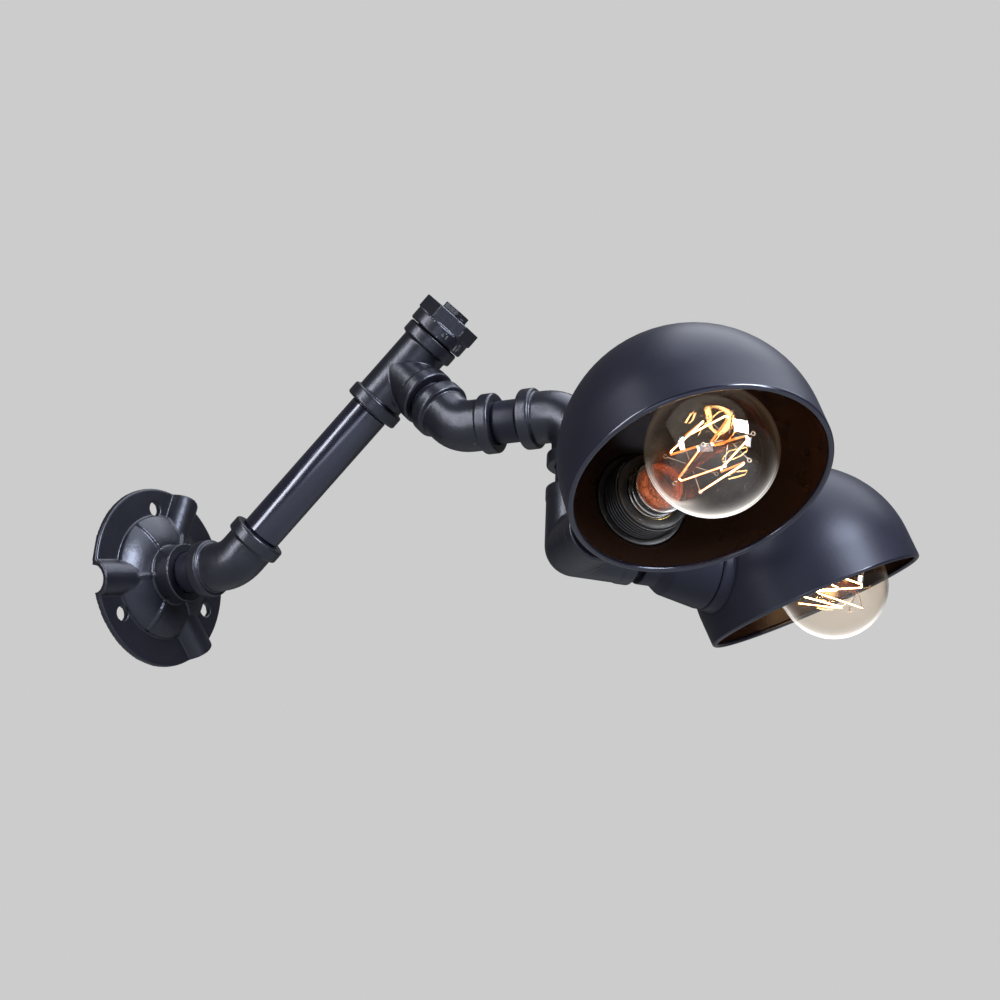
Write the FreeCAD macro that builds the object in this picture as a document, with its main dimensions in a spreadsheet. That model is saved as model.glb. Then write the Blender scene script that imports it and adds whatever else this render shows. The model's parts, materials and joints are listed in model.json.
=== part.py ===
import FreeCAD, Part
import math
import os
import Sketcher
from FreeCAD import Placement, Rotation, Vector

# Industrial pipe wall light: a cast flange, threaded pipe fittings, and two lamp heads on a corner fitting.
# Frame: the wall is the plane y = 0, the light stands out along -Y, +Z is up, millimetres.
# The origin is the centre of the flange's back face.

doc = FreeCAD.newDocument("pipe_wall_light")
sheet = doc.addObject("Spreadsheet::Sheet", "Sizes")

SIZES = (
    # pipe and threads
    ("pipe_od", 24.0), ("pipe_bore", 19.6), ("thread_depth", 12.0), ("thread_gap", 0.05), ("seat_gap", 0.3),
    ("push_gap", 0.1), ("port_bevel", 0.8),
    # fittings
    ("fitting_od", 29.0), ("band_od", 33.8), ("band_length", 8.0), ("bend_radius", 19.0),
    ("elbow45_arm", 23.5), ("elbow90_arm", 32.0), ("tee_arm", 28.0), ("corner_arm", 32.0), ("corner_od", 33.0),
    ("elbow_angle", 45.0), ("square_angle", 90.0),
    # the route of the pipe, centre to centre, and how far each thread is turned
    ("wall_to_elbow", 60.0), ("arm_length", 148.5), ("branch_drop", 57.5), ("outreach", 71.5),
    ("lamp_drop", 75.5), ("arm_angle", 3.0), ("branch_angle", 6.0), ("outreach_angle", -7.0),
    ("drop_angle", 4.0), ("cluster_angle", 47.0), ("left_head_angle", 6.0), ("right_head_angle", -4.0),
    # wall flange
    ("flange_od", 108.0), ("flange_edge", 3.5), ("flange_wall", 3.0), ("flange_bevel", 0.7), ("dome_od", 74.0),
    ("dome_height", 12.5), ("dome_bow", 33.3), ("dome_lip", 2.0), ("hub_od", 35.0), ("hub_height", 19.5),
    ("arch_od", 22.0), ("arch_angle", 80.0), ("rib_width", 2.0), ("rib_height", 1.0),
    ("screw_circle", 83.0), ("screw_hole", 8.5), ("screw_angle", 110.0),
    # tee plug
    ("plug_ring_od", 36.0), ("plug_ring_height", 8.0), ("plug_hex", 33.0), ("plug_hex_height", 8.5),
    ("plug_square", 12.0), ("plug_square_height", 4.0),
    # socket cup, measured along the lamp axis from the corner fitting's centre
    ("cup_start", 36.5), ("cup_floor", 48.0), ("cup_end", 75.2), ("cup_neck_od", 31.0), ("cup_shoulder_od", 39.0),
    ("cup_mouth_od", 48.0), ("cup_wall", 1.6), ("cup_bow", 144.0), ("lead_hole", 8.0),
    # lamp holder
    ("holder_back", 60.0), ("holder_end", 96.0), ("holder_od", 39.6), ("holder_floor", 72.0),
    ("waist_length", 6.6), ("boss_od", 18.0), ("shell_bore", 26.8), ("shell_wall", 0.5),
    ("contact_tip", 76.2), ("contact_od", 9.0), ("rivet_od", 4.0), ("rivet_length", 4.5),
    # shade
    ("shade_od", 123.0), ("shade_wall", 1.2), ("shade_drop", 11.0), ("shade_tilt", 65.0), ("shade_skirt", 15.0),
    ("hem_od", 3.0), ("neck_rise", 6.0), ("neck_run", 24.5), ("seat_plate", 75.5),
    ("ring_width", 3.15), ("ring_height", 5.5), ("ring_gap", 0.2),
    # bulb
    ("bulb_od", 60.0), ("bulb_centre", 155.5), ("bulb_neck_od", 25.6), ("neck_blend", 35.0), ("glass_wall", 0.8),
    ("glass_grip", 6.8), ("cap_od", 26.4), ("cap_wall", 0.4), ("cap_start", 82.0), ("cap_end", 104.0),
    ("tip_start", 76.6), ("tip_od", 9.0), ("cage_od", 26.0), ("cage_low", 135.0), ("cage_high", 171.0),
    ("filament_od", 0.9), ("filament_bend", 1.1), ("stem_od", 4.4), ("stem_tube_od", 8.8), ("flare_height", 8.5),
    ("hook_od", 0.7), ("hook_button_od", 6.4), ("hook_button", 1.6),
    # wiring
    ("cable_od", 6.4), ("cable_bend", 9.0), ("splice_od", 9.0),
)
CAGE_LOOPS = 6          # zigzags of the filament cage

for row, (word, number) in enumerate(SIZES, start=1):
    sheet.set("A%d" % row, word)
    sheet.set("B%d" % row, str(number))
    sheet.setAlias("B%d" % row, word)
doc.recompute()


class Size:
    """A length or angle that also carries its expression on the sheet."""

    def __init__(self, value, text):
        self.value = float(value)
        self.text = text

    def _pair(self, other):
        return other if isinstance(other, Size) else Size(other, repr(float(other)))

    def __add__(self, other):
        other = self._pair(other)
        return Size(self.value + other.value, "(%s + %s)" % (self.text, other.text))

    def __sub__(self, other):
        other = self._pair(other)
        return Size(self.value - other.value, "(%s - %s)" % (self.text, other.text))

    def __mul__(self, other):
        other = self._pair(other)
        return Size(self.value * other.value, "(%s * %s)" % (self.text, other.text))

    def __truediv__(self, other):
        other = self._pair(other)
        return Size(self.value / other.value, "(%s / %s)" % (self.text, other.text))

    def __float__(self):
        return self.value


class Named:
    """Gives every cell of the sheet as an attribute."""

    def __getattr__(self, word):
        return Size(getattr(sheet, word), "Sizes.%s" % word)


S = Named()
ZERO = Size(0.0, "0")
PIPE_R = S.pipe_od / 2
BORE_R = S.pipe_bore / 2
SOCKET_R = PIPE_R + S.thread_gap
LABELS = []


# ---------------------------------------------------------------- small tools

def bind(thing, **values):
    """Ties properties of a document object to the sheet."""
    for prop, size in values.items():
        thing.setExpression(prop, size.text)


def finish(thing, label, place):
    """Names a finished sub-part and puts it in its place."""
    thing.Label = label
    thing.Placement = place
    LABELS.append(thing)
    return thing


def frame(origin, axis, across):
    """The placement whose local Z is axis and whose local X leans toward across."""
    axis = Vector(axis).normalize()
    side = axis.cross(across).normalize()
    return Placement(Vector(origin), Rotation(side.cross(axis), side, axis))


def at(z, axis=Vector(0, 0, 1), base=Vector(0, 0, 0)):
    """A local placement: its Z along axis, starting z along it from base."""
    axis = Vector(axis).normalize()
    return Placement(Vector(base) + axis * float(z), Rotation(Vector(0, 0, 1), axis))


def cylinder(radius, height, place):
    piece = doc.addObject("Part::Cylinder", "rod")
    bind(piece, Radius=radius, Height=height)
    piece.Placement = place
    return piece


def sphere(radius, place):
    piece = doc.addObject("Part::Sphere", "ball")
    bind(piece, Radius=radius)
    piece.Placement = place
    return piece


def box(width, depth, height, place):
    piece = doc.addObject("Part::Box", "block")
    bind(piece, Length=width, Width=depth, Height=height)
    piece.Placement = place
    return piece


def torus(ring, tube, place, turn=None):
    piece = doc.addObject("Part::Torus", "bend")
    bind(piece, Radius1=ring, Radius2=tube)
    if turn is not None:
        bind(piece, Angle3=turn)
    piece.Placement = place
    return piece


def fuse(pieces):
    whole = doc.addObject("Part::MultiFuse", "union")
    whole.Shapes = pieces
    whole.Refine = True
    return whole


def cut(base, tools):
    rest = doc.addObject("Part::Cut", "remainder")
    rest.Base = base
    rest.Tool = tools[0] if len(tools) == 1 else fuse(tools)
    rest.Refine = True
    return rest


def common(base, tool):
    both = doc.addObject("Part::Common", "overlap")
    both.Base = base
    both.Tool = tool
    return both


def arc_centre(start, end, radius):
    """Centre of the arc from start to end; a positive radius bulges to the right of the way."""
    mid = (start + end) * 0.5
    half = (end - start) * 0.5
    rise = math.sqrt(max(radius * radius - half.Length ** 2, 0.0))
    left = Vector(-half.y, half.x, 0).normalize()
    return mid + left * (rise if radius > 0 else -rise)


def sketch_on(body, role):
    plane = [p for p in body.Origin.OriginFeatures if p.Role == role][0]
    sketch = body.newObject("Sketcher::SketchObject", "outline")
    sketch.AttachmentSupport = [(plane, "")]
    sketch.MapMode = "FlatFace"
    return sketch


def closed_outline(sketch, corners):
    """Lines and arcs through corners (x, y) or (x, y, radius of the arc that leaves the corner)."""
    points = [Vector(float(c[0]), float(c[1]), 0) for c in corners]
    starts = []
    for i, corner in enumerate(corners):
        start, end = points[i], points[(i + 1) % len(points)]
        if len(corner) == 2:
            sketch.addGeometry(Part.LineSegment(start, end), False)
            starts.append((1, 2))
            continue
        radius = float(corner[2])
        centre = arc_centre(start, end, radius)
        first = math.atan2(start.y - centre.y, start.x - centre.x)
        last = math.atan2(end.y - centre.y, end.x - centre.x)
        circle = Part.Circle(centre, Vector(0, 0, 1), abs(radius))
        if radius > 0:
            sketch.addGeometry(Part.ArcOfCircle(circle, first, last), False)
            starts.append((1, 2))
        else:
            sketch.addGeometry(Part.ArcOfCircle(circle, last, first), False)
            starts.append((2, 1))
    count = len(corners)
    for i in range(count):
        follow = (i + 1) % count
        sketch.addConstraint(Sketcher.Constraint("Coincident", i, starts[i][1], follow, starts[follow][0]))
    for i, corner in enumerate(corners):
        if starts[i][0] == 1:
            edge, point = i, 1
        else:
            edge, point = i, 2
        for kind, size, tag in (("DistanceX", corner[0], "x"), ("DistanceY", corner[1], "y")):
            if size is ZERO:
                axis = -2 if kind == "DistanceX" else -1
                sketch.addConstraint(Sketcher.Constraint("PointOnObject", edge, point, axis))
                continue
            index = sketch.addConstraint(Sketcher.Constraint(kind, -1, 1, edge, point, size.value))
            sketch.renameConstraint(index, "%s%d" % (tag, i))
            sketch.setExpression("Constraints.%s%d" % (tag, i), size.text)
        if len(corner) == 3:
            bow = corner[2] if float(corner[2]) > 0 else corner[2] * -1
            index = sketch.addConstraint(Sketcher.Constraint("Radius", i, bow.value))
            sketch.renameConstraint(index, "bow%d" % i)
            sketch.setExpression("Constraints.bow%d" % i, bow.text)


def turned(corners):
    """A body turned about local Z from corners (radius, height[, arc])."""
    body = doc.addObject("PartDesign::Body", "turned")
    sketch = sketch_on(body, "XZ_Plane")
    closed_outline(sketch, corners)
    spin = body.newObject("PartDesign::Revolution", "spin")
    spin.Profile = sketch
    spin.ReferenceAxis = (sketch, ["V_Axis"])
    spin.Angle = 360
    sketch.Visibility = False
    doc.recompute()
    return body


def tube(outer, inner, low, high):
    """A body: a plain round tube from low to high along local Z."""
    return turned([(inner, low), (outer, low), (outer, high), (inner, high)])


def swept_rod(points, radius, bend):
    """A round rod along points, its corners rounded to the bend radius, as one solid."""
    edges = []
    last = points[0]
    for i in range(1, len(points) - 1):
        before = (points[i - 1] - points[i]).normalize()
        after = (points[i + 1] - points[i]).normalize()
        half_turn = (math.pi - before.getAngle(after)) / 2
        reach = bend * math.tan(half_turn)
        enter = points[i] + before * reach
        leave = points[i] + after * reach
        middle_way = (before + after).normalize()
        middle = points[i] + middle_way * (bend / math.cos(half_turn) - bend)
        edges.append(Part.LineSegment(last, enter).toShape())
        edges.append(Part.Arc(enter, middle, leave).toShape())
        last = leave
    edges.append(Part.LineSegment(last, points[-1]).toShape())
    path = Part.Wire(edges)
    ring = Part.Wire(Part.makeCircle(radius, points[0], points[1] - points[0]))
    return path.makePipeShell([ring], True, False)


def feature(label, shape):
    """A sub-part whose shape is worked out in code, in the part's own frame."""
    thing = doc.addObject("Part::Feature", label)
    thing.Shape = shape
    return finish(thing, label, thing.Placement)


# ---------------------------------------------------------------- the route of the pipe

OUT = Vector(0, -1, 0)
UP = Vector(0, 0, 1)
SIDE = Vector(1, 0, 0)


def turned_about(axis, degrees, way):
    return Rotation(axis, float(degrees)).multVec(way)


def perpendicular(way, axis):
    return (way - axis * way.dot(axis)).normalize()


lean = math.radians(float(S.elbow_angle))
arm_plane = turned_about(OUT, float(S.arm_angle) * -1, UP)
WAY_ARM = OUT * math.cos(lean) + arm_plane * math.sin(lean)
WAY_BRANCH = turned_about(WAY_ARM, S.branch_angle, OUT * math.sin(lean) - arm_plane * math.cos(lean))
WAY_OUT = WAY_BRANCH * math.cos(lean) + turned_about(WAY_BRANCH, S.outreach_angle, WAY_ARM) * math.sin(lean)
WAY_DOWN = turned_about(WAY_OUT, S.drop_angle, perpendicular(UP * -1, WAY_OUT))
ahead = perpendicular(WAY_OUT, WAY_DOWN)
WAY_LEFT = turned_about(WAY_DOWN, S.cluster_angle, ahead)
WAY_RIGHT = turned_about(WAY_DOWN, S.cluster_angle - S.square_angle, ahead)

AT_ELBOW = OUT * float(S.wall_to_elbow)
AT_TEE = AT_ELBOW + WAY_ARM * float(S.arm_length)
AT_UPPER = AT_TEE + WAY_BRANCH * float(S.branch_drop)
AT_DROP = AT_UPPER + WAY_OUT * float(S.outreach)
AT_CORNER = AT_DROP + WAY_DOWN * float(S.lamp_drop)


# ---------------------------------------------------------------- pipe fittings

def port(arm, axis, body_r, start=ZERO):
    """The solids and the bores of one threaded port, from start along axis to the port's face."""
    band_r = S.band_od / 2
    bevel = S.port_bevel
    solid = [
        cylinder(body_r, arm - bevel - start, at(start, axis)),
        cylinder(band_r, S.band_length - bevel * 2, at(arm - S.band_length + bevel, axis)),
    ]
    for low_end, low, high in (
        (arm - S.band_length, band_r - bevel, band_r),
        (arm - bevel, band_r, band_r - bevel),
    ):
        cone = doc.addObject("Part::Cone", "bevel")
        bind(cone, Radius1=low, Radius2=high, Height=bevel)
        cone.Placement = at(low_end, axis)
        solid.append(cone)
    bores = [
        cylinder(BORE_R, arm - start, at(start, axis)),
        cylinder(SOCKET_R, S.thread_depth + S.seat_gap + bevel, at(arm - S.thread_depth - S.seat_gap, axis)),
    ]
    return solid, bores


def elbow(label, arm, turn, place):
    """An elbow: inlet port along local -Z, outlet turned from +Z toward +X, a bend between the two."""
    bend = S.bend_radius
    half_turn = turn / 2
    reach = Size(bend.value * math.tan(math.radians(half_turn.value)),
                 "(%s * tan(%s))" % (bend.text, half_turn.text))
    angle = math.radians(turn.value)
    outlet = Vector(math.sin(angle), 0, math.cos(angle))
    swing = Placement(Vector(bend.value, 0, -reach.value),
                      Rotation(Vector(-1, 0, 0), Vector(0, 0, 1), Vector(0, 1, 0)))
    body_r = S.fitting_od / 2
    hollow = [cut(torus(bend, body_r, swing, turn), [torus(bend, BORE_R, swing, turn)])]
    for axis in (Vector(0, 0, -1), outlet):
        solid, bores = port(arm, axis, body_r, reach)
        hollow.append(cut(fuse(solid), bores))
    return finish(fuse(hollow), label, place)


def branched(label, arms, body_od, place):
    """A fitting with a port along each of the given arms, (length, axis)."""
    body_r = body_od / 2
    solids = [sphere(body_r, Placement())]
    bores = [sphere(BORE_R, Placement())]
    for arm, axis in arms:
        more, holes = port(arm, axis, body_r)
        solids += more
        bores += holes
    return finish(cut(fuse(solids), bores), label, place)


def nipple(label, origin, axis, low, high):
    """A short threaded pipe from low to high along axis."""
    return finish(tube(PIPE_R, BORE_R, ZERO, high - low), label, frame(origin + axis * float(low), axis, UP + SIDE))


ELBOW_SOCKET = S.elbow45_arm - S.thread_depth
elbow("lower_elbow", S.elbow45_arm, S.elbow_angle, frame(AT_ELBOW, OUT, arm_plane))
nipple("arm_pipe", AT_ELBOW, WAY_ARM, ELBOW_SOCKET, S.arm_length - S.tee_arm + S.thread_depth)
branched(
    "arm_tee",
    ((S.tee_arm, Vector(0, 0, 1)), (S.tee_arm, Vector(0, 0, -1)), (S.tee_arm, Vector(1, 0, 0))),
    S.fitting_od, frame(AT_TEE, WAY_ARM, WAY_BRANCH))
nipple("branch_nipple", AT_TEE, WAY_BRANCH, S.tee_arm - S.thread_depth, S.branch_drop - ELBOW_SOCKET)
elbow("upper_elbow", S.elbow45_arm, S.elbow_angle, frame(AT_UPPER, WAY_BRANCH, WAY_OUT))
nipple("outreach_nipple", AT_UPPER, WAY_OUT, ELBOW_SOCKET, S.outreach - S.elbow90_arm + S.thread_depth)
elbow("drop_elbow", S.elbow90_arm, S.square_angle, frame(AT_DROP, WAY_OUT, WAY_DOWN))
nipple("drop_nipple", AT_DROP, WAY_DOWN, S.elbow90_arm - S.thread_depth,
       S.lamp_drop - S.corner_arm + S.thread_depth)
corner_place = frame(AT_CORNER, WAY_DOWN * -1, WAY_LEFT)
to_corner = corner_place.inverse().Rotation
branched(
    "corner_fitting",
    ((S.corner_arm, Vector(0, 0, 1)), (S.corner_arm, to_corner.multVec(WAY_LEFT)),
     (S.corner_arm, to_corner.multVec(WAY_RIGHT))),
    S.corner_od, corner_place)


# ---------------------------------------------------------------- tee plug

def tee_plug():
    """A plug with a round shoulder, a hexagon and a small square on top; its shank screws into the tee."""
    shank_r = PIPE_R
    seat = S.tee_arm + S.seat_gap
    ring_top = seat + S.plug_ring_height
    hex_top = ring_top + S.plug_hex_height
    bevel = S.port_bevel
    ring_r = S.plug_ring_od / 2
    plug = turned([
        (ZERO, S.tee_arm - S.thread_depth), (shank_r - bevel, S.tee_arm - S.thread_depth),
        (shank_r, S.tee_arm - S.thread_depth + bevel), (shank_r, seat), (ring_r - bevel, seat),
        (ring_r, seat + bevel), (ring_r, ring_top - bevel), (ring_r - bevel, ring_top), (ZERO, ring_top)])
    for sides, across, low, high in ((6, S.plug_hex, ring_top, hex_top),
                                     (4, S.plug_square, hex_top, hex_top + S.plug_square_height)):
        sketch = sketch_on(plug, "XY_Plane")
        corner = across.value / 2 / math.cos(math.pi / sides)
        points = [Vector(corner, 0, 0)]
        for i in range(1, sides):
            turn = 2 * math.pi * i / sides
            points.append(Vector(corner * math.cos(turn), corner * math.sin(turn), 0))
        for i in range(sides):
            sketch.addGeometry(Part.LineSegment(points[i], points[(i + 1) % sides]), False)
        ring = sketch.addGeometry(Part.Circle(Vector(0, 0, 0), Vector(0, 0, 1), corner), True)
        sketch.addConstraint(Sketcher.Constraint("Coincident", ring, 3, -1, 1))
        for i in range(sides):
            sketch.addConstraint(Sketcher.Constraint("Coincident", i, 2, (i + 1) % sides, 1))
            sketch.addConstraint(Sketcher.Constraint("PointOnObject", i, 1, ring))
            if i:
                sketch.addConstraint(Sketcher.Constraint("Equal", 0, i))
        sketch.addConstraint(Sketcher.Constraint("PointOnObject", 0, 1, -1))
        index = sketch.addConstraint(Sketcher.Constraint("Radius", ring, corner))
        sketch.renameConstraint(index, "corner")
        sketch.setExpression("Constraints.corner", "%s / 2 / cos(%r)" % (across.text, 180.0 / sides))
        sketch.AttachmentOffset = Placement(Vector(0, 0, low.value), Rotation())
        pad = plug.newObject("PartDesign::Pad", "head")
        pad.Profile = sketch
        bind(pad, Length=high - low)
        doc.recompute()
    return finish(plug, "tee_plug", frame(AT_TEE, WAY_ARM, WAY_BRANCH + SIDE))


tee_plug()


# ---------------------------------------------------------------- wall flange

def dome_solid(foot_r, foot_high, top_r, top_high):
    """A solid dome turned about local Z: a flat foot, a bulging side and a flat top."""
    return turned([(ZERO, ZERO), (foot_r, ZERO), (foot_r, foot_high, S.dome_bow), (top_r, top_high),
                   (ZERO, top_high)])


def wall_flange():
    """The cast flange: a rim on three feet, three arches that run out to it, a ribbed dome and a hub."""
    rim_r = S.flange_od / 2
    bevel = S.flange_bevel
    dome_r = S.dome_od / 2
    dome_foot = S.flange_edge + S.flange_wall / 2
    hub_r = S.hub_od / 2
    top_r = hub_r + S.dome_lip
    arch_r = S.arch_od / 2
    wall = S.flange_wall
    outer = [
        turned([(ZERO, ZERO), (rim_r, ZERO), (rim_r, S.flange_edge - bevel), (rim_r - bevel, S.flange_edge),
                (ZERO, S.flange_edge)]),
        dome_solid(dome_r, dome_foot, top_r, S.dome_height),
        turned([(ZERO, ZERO), (hub_r, ZERO), (hub_r, S.hub_height - bevel), (hub_r - bevel, S.hub_height),
                (ZERO, S.hub_height)]),
    ]
    hollow = [dome_solid(dome_r - wall, dome_foot - wall, top_r, S.dome_height - wall)]
    rim_limit = cylinder(rim_r, arch_r, at(0))
    arches = []
    for i in range(3):
        angle = math.radians(float(S.arch_angle) + 120 * i)
        along = Vector(math.cos(angle), math.sin(angle), 0)
        arches.append(cylinder(arch_r, rim_r, at(0, along)))
        hollow.append(cylinder(arch_r - wall, rim_r + wall, at(0, along)))
    outer.append(common(rim_limit, fuse(arches)))
    bars = []
    for i in range(6):
        turn = Rotation(Vector(0, 0, 1), float(S.arch_angle) + 60 * i)
        bars.append(box(dome_r, S.rib_width, S.hub_height,
                        Placement(turn.multVec(Vector(0, -float(S.rib_width) / 2, 0)), turn)))
    crown = dome_solid(dome_r, dome_foot + S.rib_height, top_r, S.dome_height + S.rib_height)
    outer.append(common(crown, fuse(bars)))
    inner_boss = cylinder(hub_r, S.hub_height, at(S.hub_height - S.thread_depth - wall))
    shell = fuse([cut(fuse(outer), hollow), inner_boss])
    bores = [cylinder(SOCKET_R, S.hub_height, at(S.hub_height - S.thread_depth - S.seat_gap)),
             cylinder(BORE_R, S.hub_height, at(0))]
    for i in range(3):
        angle = math.radians(float(S.screw_angle) + 120 * i)
        spot = Vector(math.cos(angle), math.sin(angle), 0) * float(S.screw_circle / 2)
        bores.append(cylinder(S.screw_hole / 2, S.hub_height, at(0, base=spot)))
    # local X must point to the viewer's right and local Y up, so the flange faces -Y
    return finish(cut(shell, bores), "wall_flange", Placement(Vector(), Rotation(SIDE, UP, OUT)))


wall_flange()
nipple("flange_nipple", Vector(), OUT, S.hub_height - S.thread_depth, S.wall_to_elbow - ELBOW_SOCKET)


# ---------------------------------------------------------------- lamp heads

def lamp_frame(way, turn):
    """The frame of a lamp head: Z along its axis from the corner fitting, X to the low side of the shade."""
    return frame(AT_CORNER, way, turned_about(way, turn, perpendicular(WAY_DOWN, way)))


HEADS = (("left", lamp_frame(WAY_LEFT, S.left_head_angle)),
         ("right", lamp_frame(WAY_RIGHT, S.right_head_angle)))
NIPPLE_END = S.cup_floor - S.seat_gap


def port_nipple(side, place):
    low = S.corner_arm - S.thread_depth
    body = tube(PIPE_R, BORE_R, low, NIPPLE_END)
    return finish(body, side + "_port_nipple", place)


def socket_cup(side, place):
    """The bell that screws on the nipple and holds the lamp holder."""
    neck_r = S.cup_neck_od / 2
    shoulder_r = S.cup_shoulder_od / 2
    mouth_r = S.cup_mouth_od / 2
    wall = S.cup_wall
    shoulder = S.cup_floor + wall
    body = turned([
        (SOCKET_R, S.cup_start), (neck_r, S.cup_start), (neck_r, S.cup_floor - wall * 2),
        (shoulder_r, shoulder + wall, S.cup_bow), (mouth_r, S.cup_end), (mouth_r - wall, S.cup_end),
        (shoulder_r - wall, shoulder + wall), (shoulder_r - wall * 2, shoulder),
        (S.lead_hole / 2, shoulder), (S.lead_hole / 2, S.cup_floor), (SOCKET_R, S.cup_floor)])
    return finish(body, side + "_socket_cup", place)


def lamp_holder(side, place):
    """The insulating body of the lamp holder, with a threaded sleeve and an entry boss on the cup's floor."""
    sleeve_r = S.holder_od / 2
    waist_r = sleeve_r - S.cup_wall * 2
    boss_r = S.boss_od / 2
    lead_r = S.lead_hole / 2
    rivet_r = S.rivet_od / 2
    well_r = S.shell_bore / 2 + S.shell_wall + S.push_gap
    boss = S.cup_floor + S.cup_wall + S.seat_gap
    waist = S.holder_back + S.waist_length
    body = turned([
        (lead_r, boss), (boss_r, boss), (boss_r, S.holder_back), (waist_r, S.holder_back), (waist_r, waist),
        (sleeve_r, waist + S.cup_wall), (sleeve_r, S.holder_end), (well_r, S.holder_end),
        (well_r, S.holder_floor), (rivet_r, S.holder_floor), (rivet_r, S.holder_back + S.cup_wall),
        (lead_r, S.holder_back)])
    return finish(body, side + "_lamp_holder", place)


def screw_shell(side, place):
    inner = S.shell_bore / 2
    body = tube(inner + S.shell_wall, inner, S.holder_floor + S.seat_gap, S.holder_end - S.cup_wall)
    return finish(body, side + "_screw_shell", place)


def centre_contact(side, place):
    """The sprung tongue that meets the bulb's tip, drawn as a stepped button on its rivet."""
    foot_r = S.contact_od / 2
    rivet_r = S.rivet_od / 2 - S.push_gap
    foot = S.holder_floor + S.push_gap
    body = turned([
        (ZERO, S.holder_floor - S.rivet_length), (rivet_r, S.holder_floor - S.rivet_length), (rivet_r, foot),
        (foot_r, foot), (foot_r, foot + S.shell_wall * 2), (foot_r / 2, S.contact_tip - S.shell_wall),
        (foot_r / 3, S.contact_tip), (ZERO, S.contact_tip)])
    return finish(body, side + "_centre_contact", place)


def bowl(radius, skirt, lip):
    """A solid bowl turned about local Z: a straight skirt from the rim and a half ball over it."""
    return turned([(ZERO, lip * -1), (radius, lip * -1), (radius, skirt, radius), (ZERO, skirt + radius)])


NECK_R = S.holder_od / 2 + S.thread_gap + S.ring_width + S.seat_gap + S.shade_wall
SHADE_CENTRE = S.seat_plate + S.neck_rise + S.shade_od / 2


def shade(side, place):
    """A spun bowl whose neck enters its side; the neck's end plate is clamped by the ring nut."""
    outer_r = S.shade_od / 2
    wall = S.shade_wall
    hem_r = S.hem_od / 2
    tilt = math.radians(float(S.shade_tilt))
    mouth = Vector(math.sin(tilt), 0, math.cos(tilt))
    rim_place = Placement(Vector(float(S.shade_drop), 0, float(SHADE_CENTRE)), Rotation(UP, mouth * -1))
    depth = SHADE_CENTRE - S.seat_plate
    solid = [bowl(outer_r, S.shade_skirt, ZERO), cylinder(NECK_R, S.neck_run, at(S.seat_plate))]
    hollow = [
        bowl(outer_r - wall, S.shade_skirt, S.hem_od),
        cylinder(NECK_R - wall, depth, at(S.seat_plate + wall)),
        cylinder(S.holder_od / 2 + S.ring_gap * 2, depth, at(S.seat_plate - wall)),
    ]
    for ball in (solid[0], hollow[0]):
        ball.Placement = rim_place
    hem = torus(outer_r - hem_r, hem_r, rim_place)
    return finish(fuse([cut(fuse(solid), hollow), hem]), side + "_shade", place)


def ring_nut(side, place):
    """The nut on the lamp holder's sleeve that clamps the shade's end plate."""
    low = S.seat_plate + S.shade_wall + S.ring_gap
    inner = S.holder_od / 2 + S.thread_gap
    body = tube(inner + S.ring_width, inner, low, low + S.ring_height)
    return finish(body, side + "_ring_nut", place)


def glass_outline(ball_r, neck_r, blend, low):
    """Half-profile of a bulb: neck, inward blend and ball, from the neck's low end to the crown."""
    reach = neck_r + blend
    whole = ball_r + blend
    rise = Size(math.sqrt(whole.value ** 2 - reach.value ** 2),
                "sqrt(pow(%s; 2) - pow(%s; 2))" % (whole.text, reach.text))
    share = ball_r / whole
    return [
        (neck_r, low), (neck_r, S.bulb_centre - rise, blend * -1),
        (reach * share, S.bulb_centre - rise * share, ball_r), (ZERO, S.bulb_centre + ball_r)]


def bulb_glass(side, place):
    ball_r = S.bulb_od / 2
    wall = S.glass_wall
    neck_r = S.bulb_neck_od / 2 - S.cap_wall - S.thread_gap
    low = S.cap_end - S.glass_grip
    outside = glass_outline(ball_r, neck_r, S.neck_blend, low)
    inside = glass_outline(ball_r - wall, neck_r - wall, S.neck_blend + wall, low)
    shell = turned(outside + [(ZERO, low)])
    core = turned(inside + [(ZERO, low)])
    return finish(cut(shell, [core]), side + "_bulb_glass", place)


def bulb_cap(side, place):
    outer = S.cap_od / 2
    inner = S.bulb_neck_od / 2 - S.cap_wall
    body = turned([(inner, S.cap_start), (outer, S.cap_start), (outer, S.cap_end), (inner, S.cap_end)])
    return finish(body, side + "_bulb_cap", place)


def bulb_tip(side, place):
    """The insulating base of the bulb with its solder tip."""
    wide = S.bulb_neck_od / 2 - S.cap_wall - S.thread_gap
    tip_r = S.tip_od / 2
    base = turned([
        (ZERO, S.tip_start + S.glass_wall), (tip_r, S.tip_start + S.glass_wall),
        (wide, S.cap_start), (wide, S.cap_start + S.glass_wall * 2), (ZERO, S.cap_start + S.glass_wall * 2)])
    return finish(base, side + "_bulb_base", place)


def bulb_solder(side, place):
    tip_r = S.tip_od / 2
    body = turned([
        (ZERO, S.tip_start), (tip_r / 2, S.tip_start), (tip_r, S.tip_start + S.glass_wall),
        (ZERO, S.tip_start + S.glass_wall)])
    return finish(body, side + "_bulb_contact", place)


def bulb_stem(side, place):
    """The glass mount: a flare in the neck, the pinched rod and the button that carries the hooks."""
    flare = S.bulb_neck_od / 2 - S.cap_wall - S.glass_wall * 2
    rod = S.stem_od / 2
    stem = S.stem_tube_od / 2
    low = S.cap_end - S.glass_grip
    pinch = low + S.bulb_neck_od
    top = S.cage_high + S.hook_button
    body = turned([
        (ZERO, low), (flare, low), (flare - S.glass_wall, low + S.glass_wall), (stem, low + S.flare_height),
        (stem, pinch), (rod, pinch + stem), (rod, top), (ZERO, top + rod / 2)])
    return finish(body, side + "_bulb_stem", place)


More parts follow.
